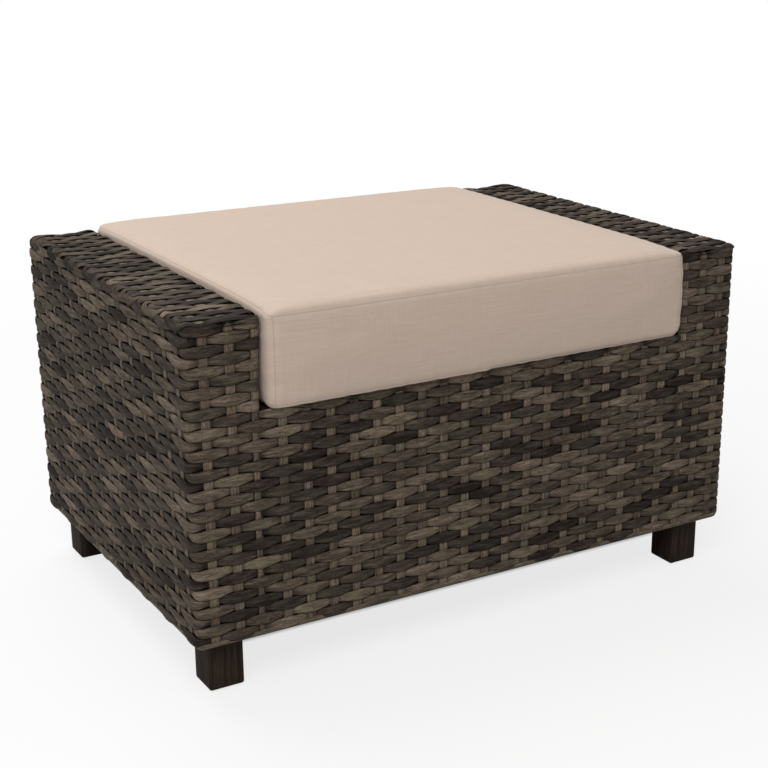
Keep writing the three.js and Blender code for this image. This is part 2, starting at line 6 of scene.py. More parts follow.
import bmesh
import bpy
import numpy as np
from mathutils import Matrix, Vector


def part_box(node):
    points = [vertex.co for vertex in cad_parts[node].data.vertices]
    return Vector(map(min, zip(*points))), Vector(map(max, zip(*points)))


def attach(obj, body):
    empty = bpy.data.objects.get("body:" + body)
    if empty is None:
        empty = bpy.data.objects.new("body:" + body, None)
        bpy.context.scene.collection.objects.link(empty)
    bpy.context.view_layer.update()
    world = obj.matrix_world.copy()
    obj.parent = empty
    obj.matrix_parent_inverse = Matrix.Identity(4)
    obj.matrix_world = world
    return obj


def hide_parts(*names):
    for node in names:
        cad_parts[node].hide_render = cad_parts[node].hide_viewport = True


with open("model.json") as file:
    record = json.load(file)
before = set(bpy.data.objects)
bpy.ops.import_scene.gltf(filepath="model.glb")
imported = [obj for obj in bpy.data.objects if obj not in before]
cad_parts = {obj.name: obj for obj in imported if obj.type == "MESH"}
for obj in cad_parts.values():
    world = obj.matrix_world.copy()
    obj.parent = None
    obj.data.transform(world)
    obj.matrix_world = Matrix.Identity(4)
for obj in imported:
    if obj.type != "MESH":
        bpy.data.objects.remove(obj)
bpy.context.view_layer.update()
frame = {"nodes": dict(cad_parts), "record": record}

rng = random.Random(11)
strand_numbers = itertools.count(1)

# Sizes repeated from the part, in metres
half_width = 0.380
half_depth = 0.260
arm_high = 0.442
seat_high = 0.3325
body_low = 0.065
bay_half = 0.290
round_edge = 0.010
lower_rows = 23
upper_rows = 9
first_row = 0.076
row_pitch = 0.01148
arm_rows = 40
arm_row_start = 0.2535
arm_row_pitch = 2 * arm_row_start / (arm_rows - 1)
bay_pitches = 20
side_pitches = 14
deck_rows = 36

# Where the stakes stand, measured from the corners of the box
corner_stake = 0.0245
arm_stakes = (0.024, 0.054, 0.084)
side_pitch = 2 * (half_depth - corner_stake) / side_pitches

# Strands
strand_width = 0.0141
strand_neck = 0.58
strand_thick = 0.0024
strand_relief = 0.0029
stake_width = 0.0118
stake_thick = 0.0014
stake_relief = 0.0011
stake_seat = 0.0019
skin = 0.0001
strand_step = 0.003


# Small helpers


def linear(hex_colour):
    """A colour written as sRGB hex, turned to the linear values that the shaders take."""
    values = [int(hex_colour[i:i + 2], 16) / 255 for i in (1, 3, 5)]
    return tuple(v / 12.92 if v <= 0.04045 else ((v + 0.055) / 1.055) ** 2.4 for v in values) + (1.0,)


def add(tree, kind, inputs=None, **settings):
    """Adds a node with its settings, and links or sets its inputs by name or number.

    A kind is written without its ShaderNode. An input takes a value, a socket or a node's first output.
    """
    whole = kind.startswith(("Geometry", "Function", "NodeGroup"))
    node = tree.nodes.new(kind if whole else "ShaderNode" + kind)
    for key, value in settings.items():
        setattr(node, key, value)
    for key, value in (inputs or {}).items():
        if isinstance(value, bpy.types.Node):
            value = value.outputs[0]
        if isinstance(value, bpy.types.NodeSocket):
            tree.links.new(value, node.inputs[key])
        else:
            node.inputs[key].default_value = value
    return node


def put(mesh, name, material=None):
    """A mesh as an object of the scene, at the origin."""
    made = bpy.data.objects.new(name, mesh)
    bpy.context.scene.collection.objects.link(made)
    if material is not None:
        mesh.materials.clear()
        mesh.materials.append(material)
    return made


def applied(made):
    """The mesh of an object with its modifiers worked in. They are then removed."""
    graph = bpy.context.evaluated_depsgraph_get()
    mesh = bpy.data.meshes.new_from_object(made.evaluated_get(graph), depsgraph=graph)
    made.modifiers.clear()
    return mesh


def read(items, field, width=1, kind=float):
    """A field of a mesh's points, corners or faces as an array."""
    values = np.empty(len(items) * width, dtype=kind)
    items.foreach_get(field, values)
    return values.reshape(-1, width) if width > 1 else values


def clamped(share):
    """A share kept from 0 to 1."""
    return min(max(share, 0.0), 1.0)


def material_tree(name):
    """A material and its empty node tree."""
    material = bpy.data.materials.new(name)
    material.use_nodes = True
    material.node_tree.nodes.clear()
    return material, material.node_tree


# Materials


def resin_wicker(name, dark, patina, mid, light):
    """Extruded flat strand of co-coloured polyethylene: long thin streaks, a satin skin, each float its own tone, and
    painted shade on its rims and on the ends that dive.
    """
    material, tree = material_tree(name)
    tone, run, side, strand, rim, crest = (
        add(tree, "Attribute", attribute_name=stored).outputs["Fac"]
        for stored in ("tone", "run", "side", "strand", "rim", "crest"))
    apart = add(tree, "Math", {0: strand, 1: 7.31}, operation="MULTIPLY")
    wander = add(tree, "CombineXYZ", {"X": run, "Y": side, "Z": apart})
    # Streaks of about 2 by 25 mm, drawn coarser than the 0.4 mm real ones so that they show. Clouds of about
    # 6 by 30 mm shift the tone along a strand, and flecks of about 1 by 3 mm break up the streaks
    streak, cloud, fleck = (
        add(tree, "TexNoise", {
            "Vector": add(tree, "VectorMath", {0: wander, 1: stretch}, operation="MULTIPLY"), "Scale": 1.0, **detail})
        for stretch, detail in (
            ((60.0, 680.0, 1.0), {"Detail": 4.0, "Roughness": 0.75}),
            ((34.0, 190.0, 1.0), {"Detail": 2.0}),
            ((330.0, 1100.0, 1.0), {"Detail": 1.0})))
    # Painted shade darkens the rounded rims and the ends that dive behind the stakes, where contact shadow falls
    lighter, shift, flecked, painted_shade_rims, painted_shade_ends, rough = (
        add(tree, "MapRange", {"Value": value, "From Min": low, "From Max": high, "To Min": first, "To Max": last})
        for value, low, high, first, last in (
            (streak, 0.28, 0.72, 0.2, 1.8),
            (cloud, 0.3, 0.7, -0.2, 0.2),
            (fleck, 0.3, 0.7, 0.72, 1.28),
            (rim, 0.78, 1.0, 1.0, 0.5),
            (crest, 0.04, 0.25, 0.5, 1.0),
            (streak, 0.2, 0.8, 0.52, 0.72)))
    level = add(tree, "Math", {0: tone, 1: shift}, operation="ADD")
    ramp = add(tree, "ValToRGB", {"Fac": level})
    stops = ramp.color_ramp.elements
    stops[0].position, stops[0].color = 0.02, linear(dark)
    stops[1].position, stops[1].color = 0.98, linear(light)
    stops.new(0.46).color = linear(mid)
    stops.new(0.20).color = linear(patina)
    # Some floats lean to green and some to plum, as co-extruded strands do
    often = add(tree, "Math", {0: tone, 1: 17.0}, operation="MULTIPLY")
    turned = add(tree, "Math", {0: often}, operation="FRACT")
    plum, green = (1.04, 0.985, 1.0, 1.0), (0.97, 1.01, 0.97, 1.0)
    hue = add(tree, "Mix", {0: turned, 6: plum, 7: green}, data_type="RGBA").outputs[2]
    hued = add(tree, "VectorMath", {0: ramp, 1: hue}, operation="MULTIPLY")
    # The colour's level: painted shade on the rims and dived ends, times the flecks and streaks
    level = painted_shade_rims
    for factor in (painted_shade_ends, flecked, lighter):
        level = add(tree, "Math", {0: level, 1: factor}, operation="MULTIPLY")
    add(tree, "OutputMaterial", {0: add(tree, "BsdfPrincipled", {
        "Base Color": add(tree, "VectorMath", {0: hued, "Scale": level}, operation="SCALE"),
        "Roughness": rough,
        "Normal": add(tree, "Bump", {"Height": streak, "Strength": 0.35, "Distance": 0.0006}),
        "Specular IOR Level": 0.10})})
    return material


def stained_hardwood(name):
    """Sawn and dark stained hardwood: upright grain and open pores."""
    material, tree = material_tree(name)
    place = add(tree, "TexCoord").outputs["Object"]
    # Growth lines 3 to 5 mm apart that run the height of the leg
    long_grain = add(tree, "VectorMath", {0: place, 1: (260.0, 260.0, 14.0)}, operation="MULTIPLY")
    grain = add(tree, "TexNoise", {
        "Vector": long_grain, "Scale": 1.0, "Detail": 4.0, "Roughness": 0.62, "Distortion": 0.6})
    # Pores under 1 mm across
    pores = add(tree, "VectorMath", {0: place, 1: (1500.0, 1500.0, 60.0)}, operation="MULTIPLY")
    pore = add(tree, "TexNoise", {"Vector": pores, "Scale": 1.0, "Detail": 1.0})
    ramp = add(tree, "ValToRGB", {"Fac": grain})
    stops = ramp.color_ramp.elements
    stops[0].position, stops[0].color = 0.3, linear("#1e1613")
    stops[1].position, stops[1].color = 0.72, linear("#44372d")
    stops.new(0.5).color = linear("#30251e")
    dull = add(tree, "MapRange", {"Value": pore, "From Min": 0.35, "From Max": 0.5, "To Min": 0.72, "To Max": 1.0})
    add(tree, "OutputMaterial", {0: add(tree, "BsdfPrincipled", {
        "Base Color": add(tree, "VectorMath", {0: ramp, "Scale": dull}, operation="SCALE"),
        "Roughness": add(tree, "MapRange", {"Value": grain, "To Min": 0.72, "To Max": 0.55}),
        "Normal": add(tree, "Bump", {"Height": pore, "Strength": 0.3, "Distance": 0.0004}),
        "Specular IOR Level": 0.12})})
    return material


def linen_cloth(name):
    """Slubbed solution-dyed olefin in plain weave: crossed threads with thick places, matt with a soft sheen."""
    material, tree = material_tree(name)
    place = add(tree, "UVMap", uv_map="cloth")
    # Threads are 0.5 mm apart in the real cloth and are drawn 1 mm apart so that they show
    threads = []
    for scales in (((1300.0, 60.0, 1.0), (420.0, 16.0, 1.0)), ((60.0, 1300.0, 1.0), (16.0, 420.0, 1.0))):
        pair = []
        for scale in scales:
            stretched = add(tree, "VectorMath", {0: place, 1: scale}, operation="MULTIPLY")
            pair.append(add(tree, "TexNoise", {"Vector": stretched, "Scale": 1.0, "Detail": 2.0}))
        threads.append(add(tree, "Math", {0: pair[0], 1: pair[1]}, operation="ADD"))
    both = add(tree, "Math", {0: threads[0], 1: 0.5, 2: threads[1]}, operation="MULTIPLY_ADD")
    weave = add(tree, "MapRange", {"Value": both, "From Min": 1.1, "From Max": 1.9})
    ramp = add(tree, "ValToRGB", {"Fac": weave})
    stops = ramp.color_ramp.elements
    stops[0].position, stops[0].color = 0.15, linear("#c9b4a4")
    stops[1].position, stops[1].color = 0.85, linear("#d1bdad")
    # Seam lines: a thin valley where the distance to a seam falls to zero, darkened with painted shade
    seam = add(tree, "Attribute", attribute_name="seam").outputs["Fac"]
    near = add(tree, "Math", {0: seam}, operation="ABSOLUTE")
    line = add(tree, "MapRange", {"Value": near, "From Min": 0.0002, "From Max": 0.0009},
               interpolation_type="SMOOTHSTEP")
    shade = add(tree, "MapRange", {"Value": line, "To Min": 0.82, "To Max": 1.0})
    relief = add(tree, "Math", {0: weave, 1: line}, operation="MULTIPLY")
    add(tree, "OutputMaterial", {0: add(tree, "BsdfPrincipled", {
        "Base Color": add(tree, "VectorMath", {0: ramp, "Scale": shade}, operation="SCALE"),
        "Normal": add(tree, "Bump", {"Height": relief, "Strength": 0.22, "Distance": 0.0005}),
        "Roughness": 0.92, "Specular IOR Level": 0.2, "Sheen Weight": 0.15, "Sheen Roughness": 0.5})})
    return material


def speckled(name, first, second, grit, rough, metallic=0.0):
    """A surface with a fine grit or grain: two close tones and a slight unevenness, grit in metres."""
    material, tree = material_tree(name)
    place = add(tree, "TexCoord").outputs["Object"]
    grain = add(tree, "TexNoise", {"Vector": place, "Scale": 1.0 / grit, "Detail": 2.0})
    cloud = add(tree, "TexNoise", {"Vector": place, "Scale": 0.06 / grit, "Detail": 3.0})
    both = add(tree, "Math", {0: grain, 1: cloud}, operation="ADD")
    fade = add(tree, "MapRange", {"Value": both, "From Min": 0.7, "From Max": 1.3})
    ramp = add(tree, "ValToRGB", {"Fac": fade})
    for stop, colour in zip(ramp.color_ramp.elements, (first, second)):
        stop.color = linear(colour)
    add(tree, "OutputMaterial", {0: add(tree, "BsdfPrincipled", {
        "Base Color": ramp, "Metallic": metallic,
        "Roughness": add(tree, "MapRange", {"Value": cloud, "To Min": rough - 0.08, "To Max": rough + 0.08}),
        "Normal": add(tree, "Bump", {"Height": grain, "Strength": 0.4, "Distance": 0.0001})})})
    return material


# Resin wicker: the floats, the wider strands of the deck, the paler stakes, and a near-black layer behind them that is
# painted shade for the dark inside of the box
wicker = resin_wicker("woven resin wicker", "#271f1a", "#372f2b", "#4a4138", "#776a5b")
deck_wicker = resin_wicker("deck resin wicker", "#231e1c", "#2b2623", "#393129", "#4b4138")
stake_wicker = resin_wicker("stake resin wicker", "#50453b", "#594d43", "#665a4d", "#786a5c")
# A near-black tone: painted shade for the inside of the box, seen through the gaps of the weave
shade_backing_wicker = resin_wicker("painted shade resin wicker", "#17130f", "#191512", "#1d1814", "#241e19")
# Stained hardwood legs, which read as sawn timber by their upright grain
wood = stained_hardwood("stained hardwood")
# Olefin cloth, which reads as woven by its crossed slubs and soft sheen
cloth = linen_cloth("slubbed olefin linen")
# Powder coat on aluminium tube: a dark satin skin with a faint orange-peel
coat = speckled("powder coated aluminium", "#262220", "#332d29", 0.0012, 0.45)
# Zinc plated steel: bright grey with a faint yellow cast in patches
zinc = speckled("zinc plated steel", "#9b9c98", "#bcbcb6", 0.0010, 0.34, 1.0)
# Moulded polyethylene glide: black with a fine matt grain
glide_plastic = speckled("moulded polyethylene", "#1b1b1a", "#2a2a28", 0.0008, 0.6)
# Woven polyester tape, dyed near the cloth
tape_cloth = speckled("polyester zip tape", "#9d8c7b", "#b7a592", 0.0007, 0.85)
# Die cast zinc with a dulled antique finish
cast_zinc = speckled("die cast zinc", "#6f6a62", "#9c958a", 0.0009, 0.4, 1.0)


# Routes for the strands


def route(points, normals, radius, closed=False):
    """A path over flat faces that meet at right angles, with rounded edges.

    The path takes a distance along the sharp route and gives a place and its outward direction.
    """
    points = [np.array(p, float) for p in points]
    normals = [np.array(n, float) for n in normals]
    ends = points[1:] + (points[:1] if closed else [])
    lengths = [float(np.linalg.norm(b - a)) for a, b in zip(points, ends)]
    starts = np.concatenate([[0.0], np.cumsum(lengths)])
    total = float(starts[-1])

    def at(s):
        if closed:
            s = s % total
        part = min(max(int(np.searchsorted(starts, s, side="right")) - 1, 0), len(lengths) - 1)
        into = s - starts[part]
        left = lengths[part] - into
        corner = None
        if into < radius and (closed or part > 0):
            corner, before, after, past = points[part], normals[part - 1], normals[part], into
        elif left < radius and (closed or part < len(lengths) - 1):
            corner, before, after, past = ends[part], normals[part], normals[(part + 1) % len(normals)], -left
        if corner is None:
            step = (ends[part] - points[part]) / lengths[part]
            return points[part] + step * into, normals[part]
        turn = math.pi / 4 * (1 + past / radius)
        out = before * math.cos(turn) + after * math.sin(turn)
        return corner - radius * (before + after) + radius * out, out

    return at, total


def lean(z, low, high):
    """How far a row at height z falls back, and how it tilts, on a rounded bottom or top edge."""
    if high is not None and z > high - round_edge:
        rise = min((z - high + round_edge) / round_edge, 1.0)
    elif low is not None and z < low + round_edge:
        rise = max((z - low - round_edge) / round_edge, -1.0)
    else:
        return 0.0, 0.0
    return round_edge * (1 - math.sqrt(1 - rise * rise)), rise


guides = {}
guide_fields = ("out", "beat", "strand", "girth", "sink", "bias")


def guide(piece, points, outs, beats, strand, girths=None, sinks=None, bias=0.0):
    """Keeps one strand's centre line with the values that its tube is made from."""
    kept = guides.setdefault(piece, {field: [] for field in ("co", "edge") + guide_fields})
    first = len(kept["co"])
    count = len(points)
    kept["co"] += [tuple(point) for point in points]
    kept["edge"] += [(first + i, first + i + 1) for i in range(count - 1)]
    kept["out"] += [tuple(out) for out in outs]
    kept["beat"] += list(beats)
    kept["strand"] += [float(strand)] * count
    kept["bias"] += [bias] * count
    kept["girth"] += [1.0] * count if girths is None else list(girths)
    kept["sink"] += [0.0] * count if sinks is None else list(sinks)


def mirrored(points, outs):
    flip = np.array([-1.0, 1.0, 1.0])
    return [np.array(p) * flip for p in points], [np.array(o) * flip for o in outs]


# The box's ring of stakes, from the front left corner round to the right, as distances round the sharp ring
body_lap = 2 * (2 * half_width + 2 * half_depth)
bay_start = arm_stakes[-1]
bay_pitch = (2 * half_width - 2 * bay_start) / bay_pitches
body_front = list(arm_stakes[:2]) + [bay_start + bay_pitch * i for i in range(bay_pitches + 1)]
body_front += [2 * half_width - a for a in reversed(arm_stakes[:2])]
side_stakes = [corner_stake + side_pitch * i for i in range(side_pitches + 1)]
body_marks = [-corner_stake] + body_front
body_marks += [2 * half_width + a for a in side_stakes]
body_marks += [2 * half_width + 2 * half_depth + a for a in body_front]
body_marks += [4 * half_width + 2 * half_depth + a for a in side_stakes[:-1]]
body_count = len(body_marks)

# The ring of stakes round one arm, in the same order
arm_wide = half_width - bay_half
arm_lap = 2 * (arm_wide + 2 * half_depth)
arm_marks = [-corner_stake] + list(arm_stakes)
arm_marks += [arm_wide + a for a in side_stakes]
arm_marks += [2 * arm_wide + 2 * half_depth - a for a in reversed(arm_stakes)]
arm_marks += [2 * arm_wide + 2 * half_depth + a for a in side_stakes[:-1]]
arm_count = len(arm_marks)

west, east, north, south, above, below = (-1, 0, 0), (1, 0, 0), (0, 1, 0), (0, -1, 0), (0, 0, 1), (0, 0, -1)


def box_ring(inner):
    """The round of one box, from its front left corner, with its other side at inner."""
    corners = [(x, y, 0) for x, y in (
        (-half_width, -half_depth), (inner, -half_depth), (inner, half_depth), (-half_width, half_depth))]
    return route(corners, [south, east, north, west], round_edge, True)[0]


body = (box_ring(half_width), body_marks, body_lap)
arm = (box_ring(-bay_half), arm_marks, arm_lap)


def ring_distance(marks, lap, stake):
    """The distance round the ring of a stake number, whole or not."""
    count = len(marks)
    turn, place = divmod(stake, count)
    low = int(place)
    first = marks[low]
    second = marks[low + 1] if low + 1 < count else marks[0] + lap
    return turn * lap + first + (second - first) * (place - low)


def row_strand(piece, around, start, end, row, low, high, strand, flip=False, shade_layer=False):
    """One level strand from one stake to another, with its ends behind those stakes. A strand of the painted-shade
    layer doesn't wave.
    """
    steps_each = 12
    ring, marks, lap = around
    z = row_heights[row]
    back, tilt = lean(z, low, high)
    level = math.sqrt(1 - tilt * tilt)
    points, outs, beats, girths = [], [], [], []
    rises, swells = ([0.0 if shade_layer else rng.uniform(-1, 1) for _ in range(end - start + 1)] for _ in range(2))
    for step in range((end - start) * steps_each + 1):
        stake = start + step / steps_each
        place, out = ring(ring_distance(marks, lap, stake))
        near = min(int(stake - start), end - start - 1)
        share = stake - start - near
        rise, fuller = (offs[near] * (1 - share) + offs[near + 1] * share for offs in (rises, swells))
        points.append(place - out * back + np.array([0, 0, z + 0.0003 * rise]))
        outs.append(out * level + np.array([0, 0, tilt]))
        beats.append(1.0 if shade_layer else stake + row + 1)
        girths.append(1 + 0.03 * fuller)
    if flip:
        points, outs = mirrored(points, outs)
    guide(piece, points, outs, beats, strand, girths)


# The strands of the box

all_rows = lower_rows + upper_rows
row_heights = [first_row + row_pitch * j for j in range(all_rows)]
front_stakes = len(body_front) + 1
corners = [0, front_stakes, front_stakes + side_pitches, 2 * front_stakes + side_pitches, body_count]
arm_corners = [0, 4 + side_pitches + len(arm_stakes) + 1, arm_count]


def wall_row(z):
    """The row number at a height, whole at a row's middle."""
    return (z - first_row) / row_pitch


def wall_row_strands(face, around, first, last, way, row, low, high, flip=False):
    """A row of one face, and the dark level strand of painted shade that lies behind it."""
    strand = next(strand_numbers)
    row_strand(f"{face}_strands", around, first - way, last + way, row, low, high, strand, flip)
    row_strand(f"{face}_lining", around, first, last, row, low, high, strand, flip, True)


for row in range(lower_rows):
    wrap = 1 - row % 2
    for side, face in enumerate(("front", "right_side", "back", "left_side")):
        way = wrap if side % 2 == 0 else -wrap
        wall_row_strands(face, body, corners[side], corners[side + 1], way, row, body_low if row == 0 else None, None)

for hand in ("left", "right"):
    for row in range(lower_rows, all_rows):
        wrap = 1 - row % 2
        high = arm_high if row == all_rows - 1 else None
        for side, face in enumerate(("arm", "side")):
            way = wrap if side == 0 else -wrap
            wall_row_strands(
                f"{hand}_{face}", arm, arm_corners[side], arm_corners[side + 1], way, row, None, high, hand == "right")


def stake_strand(piece, path, end, beat_at, sink_at=None, flip=False):
    """One upright strand. beat_at and sink_at take a point of the path and its distance along it."""
    count = max(int(end / strand_step), 2)
    points, outs, beats, sinks = [], [], [], []
    for i in range(count + 1):
        s = end * i / count
        place, out = path(s)
        points.append(place)
        outs.append(out)
        beats.append(beat_at(place, s))
        sinks.append(sink_at(place, s) if sink_at else 0.0)
    if flip:
        points, outs = mirrored(points, outs)
    guide(piece, points, outs, beats, next(strand_numbers), None, sinks)


tuck = 0.022
face_end = tuck + arm_high - body_low


def ends_under(place, s):
    """A stake that ends under the arm's top rows sinks away over its last few millimetres."""
    return 0.004 * clamped((s - face_end + 0.014) / 0.010)


def beats_from(first):
    """The beats of an upright stake whose number, for the weave's over and under, is first."""
    return lambda place, s: wall_row(place[2]) + first


# Bay stakes of the front and the back fold under the bottom rail and over the seat rail
for number in range(4, front_stakes - 3):
    x = -half_width + body_marks[number]
    for face, side_y, parity in (("front", -1, number), ("back", 1, corners[3] - number)):
        y = side_y * half_depth
        inside = y - side_y * tuck
        path, length = route(
            [(x, inside, body_low), (x, y, body_low), (x, y, seat_high), (x, inside, seat_high)],
            [below, (0, side_y, 0), above], round_edge)
        stake_strand(f"{face}_stakes", path, length, beats_from(parity))

for hand in ("left", "right"):
    flip = hand == "right"
    # The inner corner stakes stand up the whole corner, and so do the corner stakes on the side faces
    for side_y, first in ((-1, 3), (1, 5 + side_pitches)):
        place, out = (way * np.array([1, -side_y, 1]) for way in arm[0](arm_marks[3]))
        foot, head = np.array([0, 0, body_low]), np.array([0, 0, arm_high])
        path, length = route([place - out * tuck + foot, place + foot, place + head], [below, out], round_edge)
        stake_strand(f"{hand}_arm_stakes", path, face_end - 0.006, beats_from(first), ends_under, flip)

    # Side stakes end beneath the strands that turn over the arm's outer edge
    for number in range(side_pitches + 1):
        y = -half_depth + side_stakes[number]
        path, length = route(
            [(-half_width + tuck, y, body_low), (-half_width, y, body_low), (-half_width, y, arm_high)],
            [below, west], round_edge)
        stake_strand(f"{hand}_side_stakes", path, face_end - 0.001, beats_from(number), ends_under, flip)

    # Two stakes of each arm run up the front and over the arm. Two more stand up its back
    for number in (1, 2):
        x = -half_width + arm_stakes[number - 1]
        front, back = -half_depth, half_depth
        path, length = route(
            [(x, front + tuck, body_low), (x, front, body_low), (x, front, arm_high), (x, back, arm_high)],
            [below, south, above], round_edge)

        def arm_beat(place, s, number=number):
            if s < face_end - 0.006:
                return number + wall_row(place[2])
            top_row = (place[1] + arm_row_start) / arm_row_pitch
            return number + all_rows + min(max(top_row, -0.5), arm_rows - 0.5)

        stake_strand(f"{hand}_arm_stakes", path, length - 0.012, arm_beat, None, flip)
        path, length = route(
            [(x, back - tuck, body_low), (x, back, body_low), (x, back, arm_high)], [below, north], round_edge)
        first = 8 + side_pitches - number
        stake_strand(f"{hand}_arm_stakes", path, face_end - 0.006, beats_from(first), ends_under, flip)

    # Inner face stakes
    for number in range(side_pitches + 1):
        y = -half_depth + side_stakes[number]
        path, length = route([(-bay_half, y, seat_high), (-bay_half, y, arm_high)], [east], round_edge)
        stake_strand(
            f"{hand}_arm_stakes", path, length - 0.010, lambda p, s, k=number: wall_row(p[2]) + 4 + k,
            lambda p, s: 0.003 * clamped((s - length + 0.018) / 0.008), flip)

# Rows of the arm tops

# Each 65 mm of the outer edge has five rows: four that turn over it in a pair of nested hooks, and one that runs down
hook_rows = 5
inner_lap = 0.014
outer_edge = inner_lap + arm_wide
stake_stops = [inner_lap + arm_wide - a for a in reversed(arm_stakes)]
arm_path, _ = route(
    [(-bay_half, 0, arm_high - inner_lap), (-bay_half, 0, arm_high), (-half_width, 0, arm_high),
     (-half_width, 0, arm_high - 0.030)],
    [east, above, west], round_edge)


def arm_row_y(k):
    """How far back a row of the arm's top lies."""
    return -arm_row_start + arm_row_pitch * k


def on_arm(s, y):
    """A point of the arm's top at a distance along its section, and how it leans on the rounded ends."""
    place, out = arm_path(s)
    rise = (abs(y) - half_depth + round_edge) / round_edge
    if rise <= 0:
        return np.array([place[0], y, place[2]]), out
    rise = min(rise, 0.95)
    drop = round_edge * (1 - math.sqrt(1 - rise * rise))
    half_rise = 0.45 * rise
    tilted = np.array(out) * math.sqrt(1 - half_rise ** 2) + np.array([0, math.copysign(half_rise, y), 0])
    return np.array([place[0], y, place[2]]) - np.array(out) * drop, tilted


def arm_strand(piece, line, flip, bias=0.0):
    """A strand of the arm's top. Each point of its line is distance along the section, y, beat and girth."""
    points, outs = zip(*(on_arm(s, y) for s, y, _, _ in line))
    if flip:
        points, outs = mirrored(points, outs)
    beats, girths = ([point[field] for point in line] for field in (2, 3))
    guide(piece, points, outs, beats, next(strand_numbers), girths, None, bias)


def row_beats(k):
    """The beat of a row where it crosses the three stakes, from the inner edge outwards."""
    start = k % 2
    return [0.0] + stake_stops, [start - 0.4, start, start + 1, start + 2]


def edge_fold(s, turn_from):
    """How much narrower a strand gets where it folds on edge to make a turn."""
    near = clamped((s - turn_from + 0.012) / 0.012)
    return 0.34 * near * near * (3 - 2 * near)


def hook(piece, first, second, reach, flip, bias):
    """A strand runs out along one row, turns over the outer edge and runs back along another."""
    y_first, y_second = arm_row_y(first), arm_row_y(second)
    half = (y_second - y_first) / 2
    middle = (y_first + y_second) / 2
    depth = min(abs(half) * 0.9, 0.011)
    turn_from = outer_edge + reach - depth
    places, beats = row_beats(first)
    places, beats = places + [turn_from], beats + [3.0]
    line = [(s, y_first, float(np.interp(s, places, beats)), 1.0 - edge_fold(s, turn_from))
            for s in np.arange(0.0, turn_from, strand_step)]
    for i in range(25):
        angle = math.pi * i / 24
        s = turn_from + depth * math.sin(angle) ** 0.8
        y = middle - half * math.copysign(abs(math.cos(angle)) ** 0.8, math.cos(angle))
        line.append((s, y, 3.0, 1.0 - edge_fold(turn_from, turn_from) - 0.05 * math.sin(angle)))
    back = 3 if second % 2 else 4
    places = [-turn_from] + [-s for s in reversed(stake_stops)] + [0.0]
    beats = [3.0, back, back + 1, back + 2, back + 2.4]
    line += [(s, y_second, float(np.interp(-s, places, beats)), 1.0 - edge_fold(s, turn_from))
             for s in np.arange(turn_from, 0.0, -strand_step)]
    arm_strand(piece, line, flip, bias)


for hand in ("left", "right"):
    flip = hand == "right"
    piece = f"{hand}_arm_top_strands"
    for first in range(0, arm_rows, hook_rows):
        # Tone offsets: the outer hooks are painted darker, as shade for their turn over the edge, and the inner hooks a
        # little darker
        for ahead, behind, reach, bias in ((first, first + 3, 0.0058, -0.3), (first + 2, first + 1, -0.0030, -0.12)):
            hook(piece, ahead, behind, reach + 0.0006 * rng.uniform(-1, 1), flip, bias)
        lone_y = arm_row_y(first + 4)
        down = -half_depth + min(side_stakes, key=lambda stake: abs(stake - half_depth - lone_y - 0.004))
        places, beats = row_beats(first + 4)
        places, beats = places + [outer_edge - 0.006, outer_edge + 0.003, outer_edge + 0.011], beats + [3.0, 3.0, 4.0]
        line = []
        for s in np.arange(0.0, outer_edge + 0.0115, strand_step):
            late = clamped((s - outer_edge + 0.024) / 0.028)
            late = late * late * (3 - 2 * late)
            line.append((s, lone_y + (down - lone_y) * late, float(np.interp(s, places, beats)), 1.05 - 0.35 * late))
        arm_strand(piece, line, flip)
    # Dark level strands of painted shade under the arm's top rows
    for k in range(arm_rows):
        line = [(s, arm_row_y(k), 1.0, 1.09) for s in np.arange(0.0, outer_edge + 0.020, 0.004)]
        arm_strand(f"{hand}_arm_top_lining", line, flip)

# The seat deck

deck_x = bay_half - 0.002
deck_y = half_depth - tuck + 0.002
deck_row_pitch = 2 * half_depth / deck_rows


def deck_strand(piece, reach, steps, point_at, beat_at):
    """A level strand of the deck, from the place of each step and its beat."""
    along = [-reach + 2 * reach * step / steps for step in range(steps + 1)]
    points = [np.array(point_at(place)) for place in along]
    beats = [beat_at(place, step) for step, place in enumerate(along)]
    guide(piece, points, [above] * len(points), beats, next(strand_numbers))


for row in range(deck_rows):
    y = -half_depth + deck_row_pitch * (row + 0.5)
    deck_strand("deck_strands", deck_x, bay_pitches * 8, lambda x: [x, y, seat_high], lambda x, step: step / 8 + row)
for number in range(4, front_stakes - 3):
    x = -half_width + body_marks[number]
    deck_strand("deck_stakes", deck_y, 128, lambda y: [x, y, seat_high],
                lambda y, step: (y + half_depth) / deck_row_pitch - 0.5 + (number - 3) + 1)

# A thin strand binds the bottom edge of the box
points, outs = [], []
for step in range(601):
    place, out = body[0](body_lap * 0.37 + (body_lap - 0.004) * step / 600)
    points.append(place - out * 0.0030 + np.array([0, 0, body_low + 0.0042]))
    outs.append(out * 0.9 + np.array([0, 0, -0.44]))
guide("bottom_strand", points, outs, [1.0] * len(points), next(strand_numbers))


# The tree that makes strands


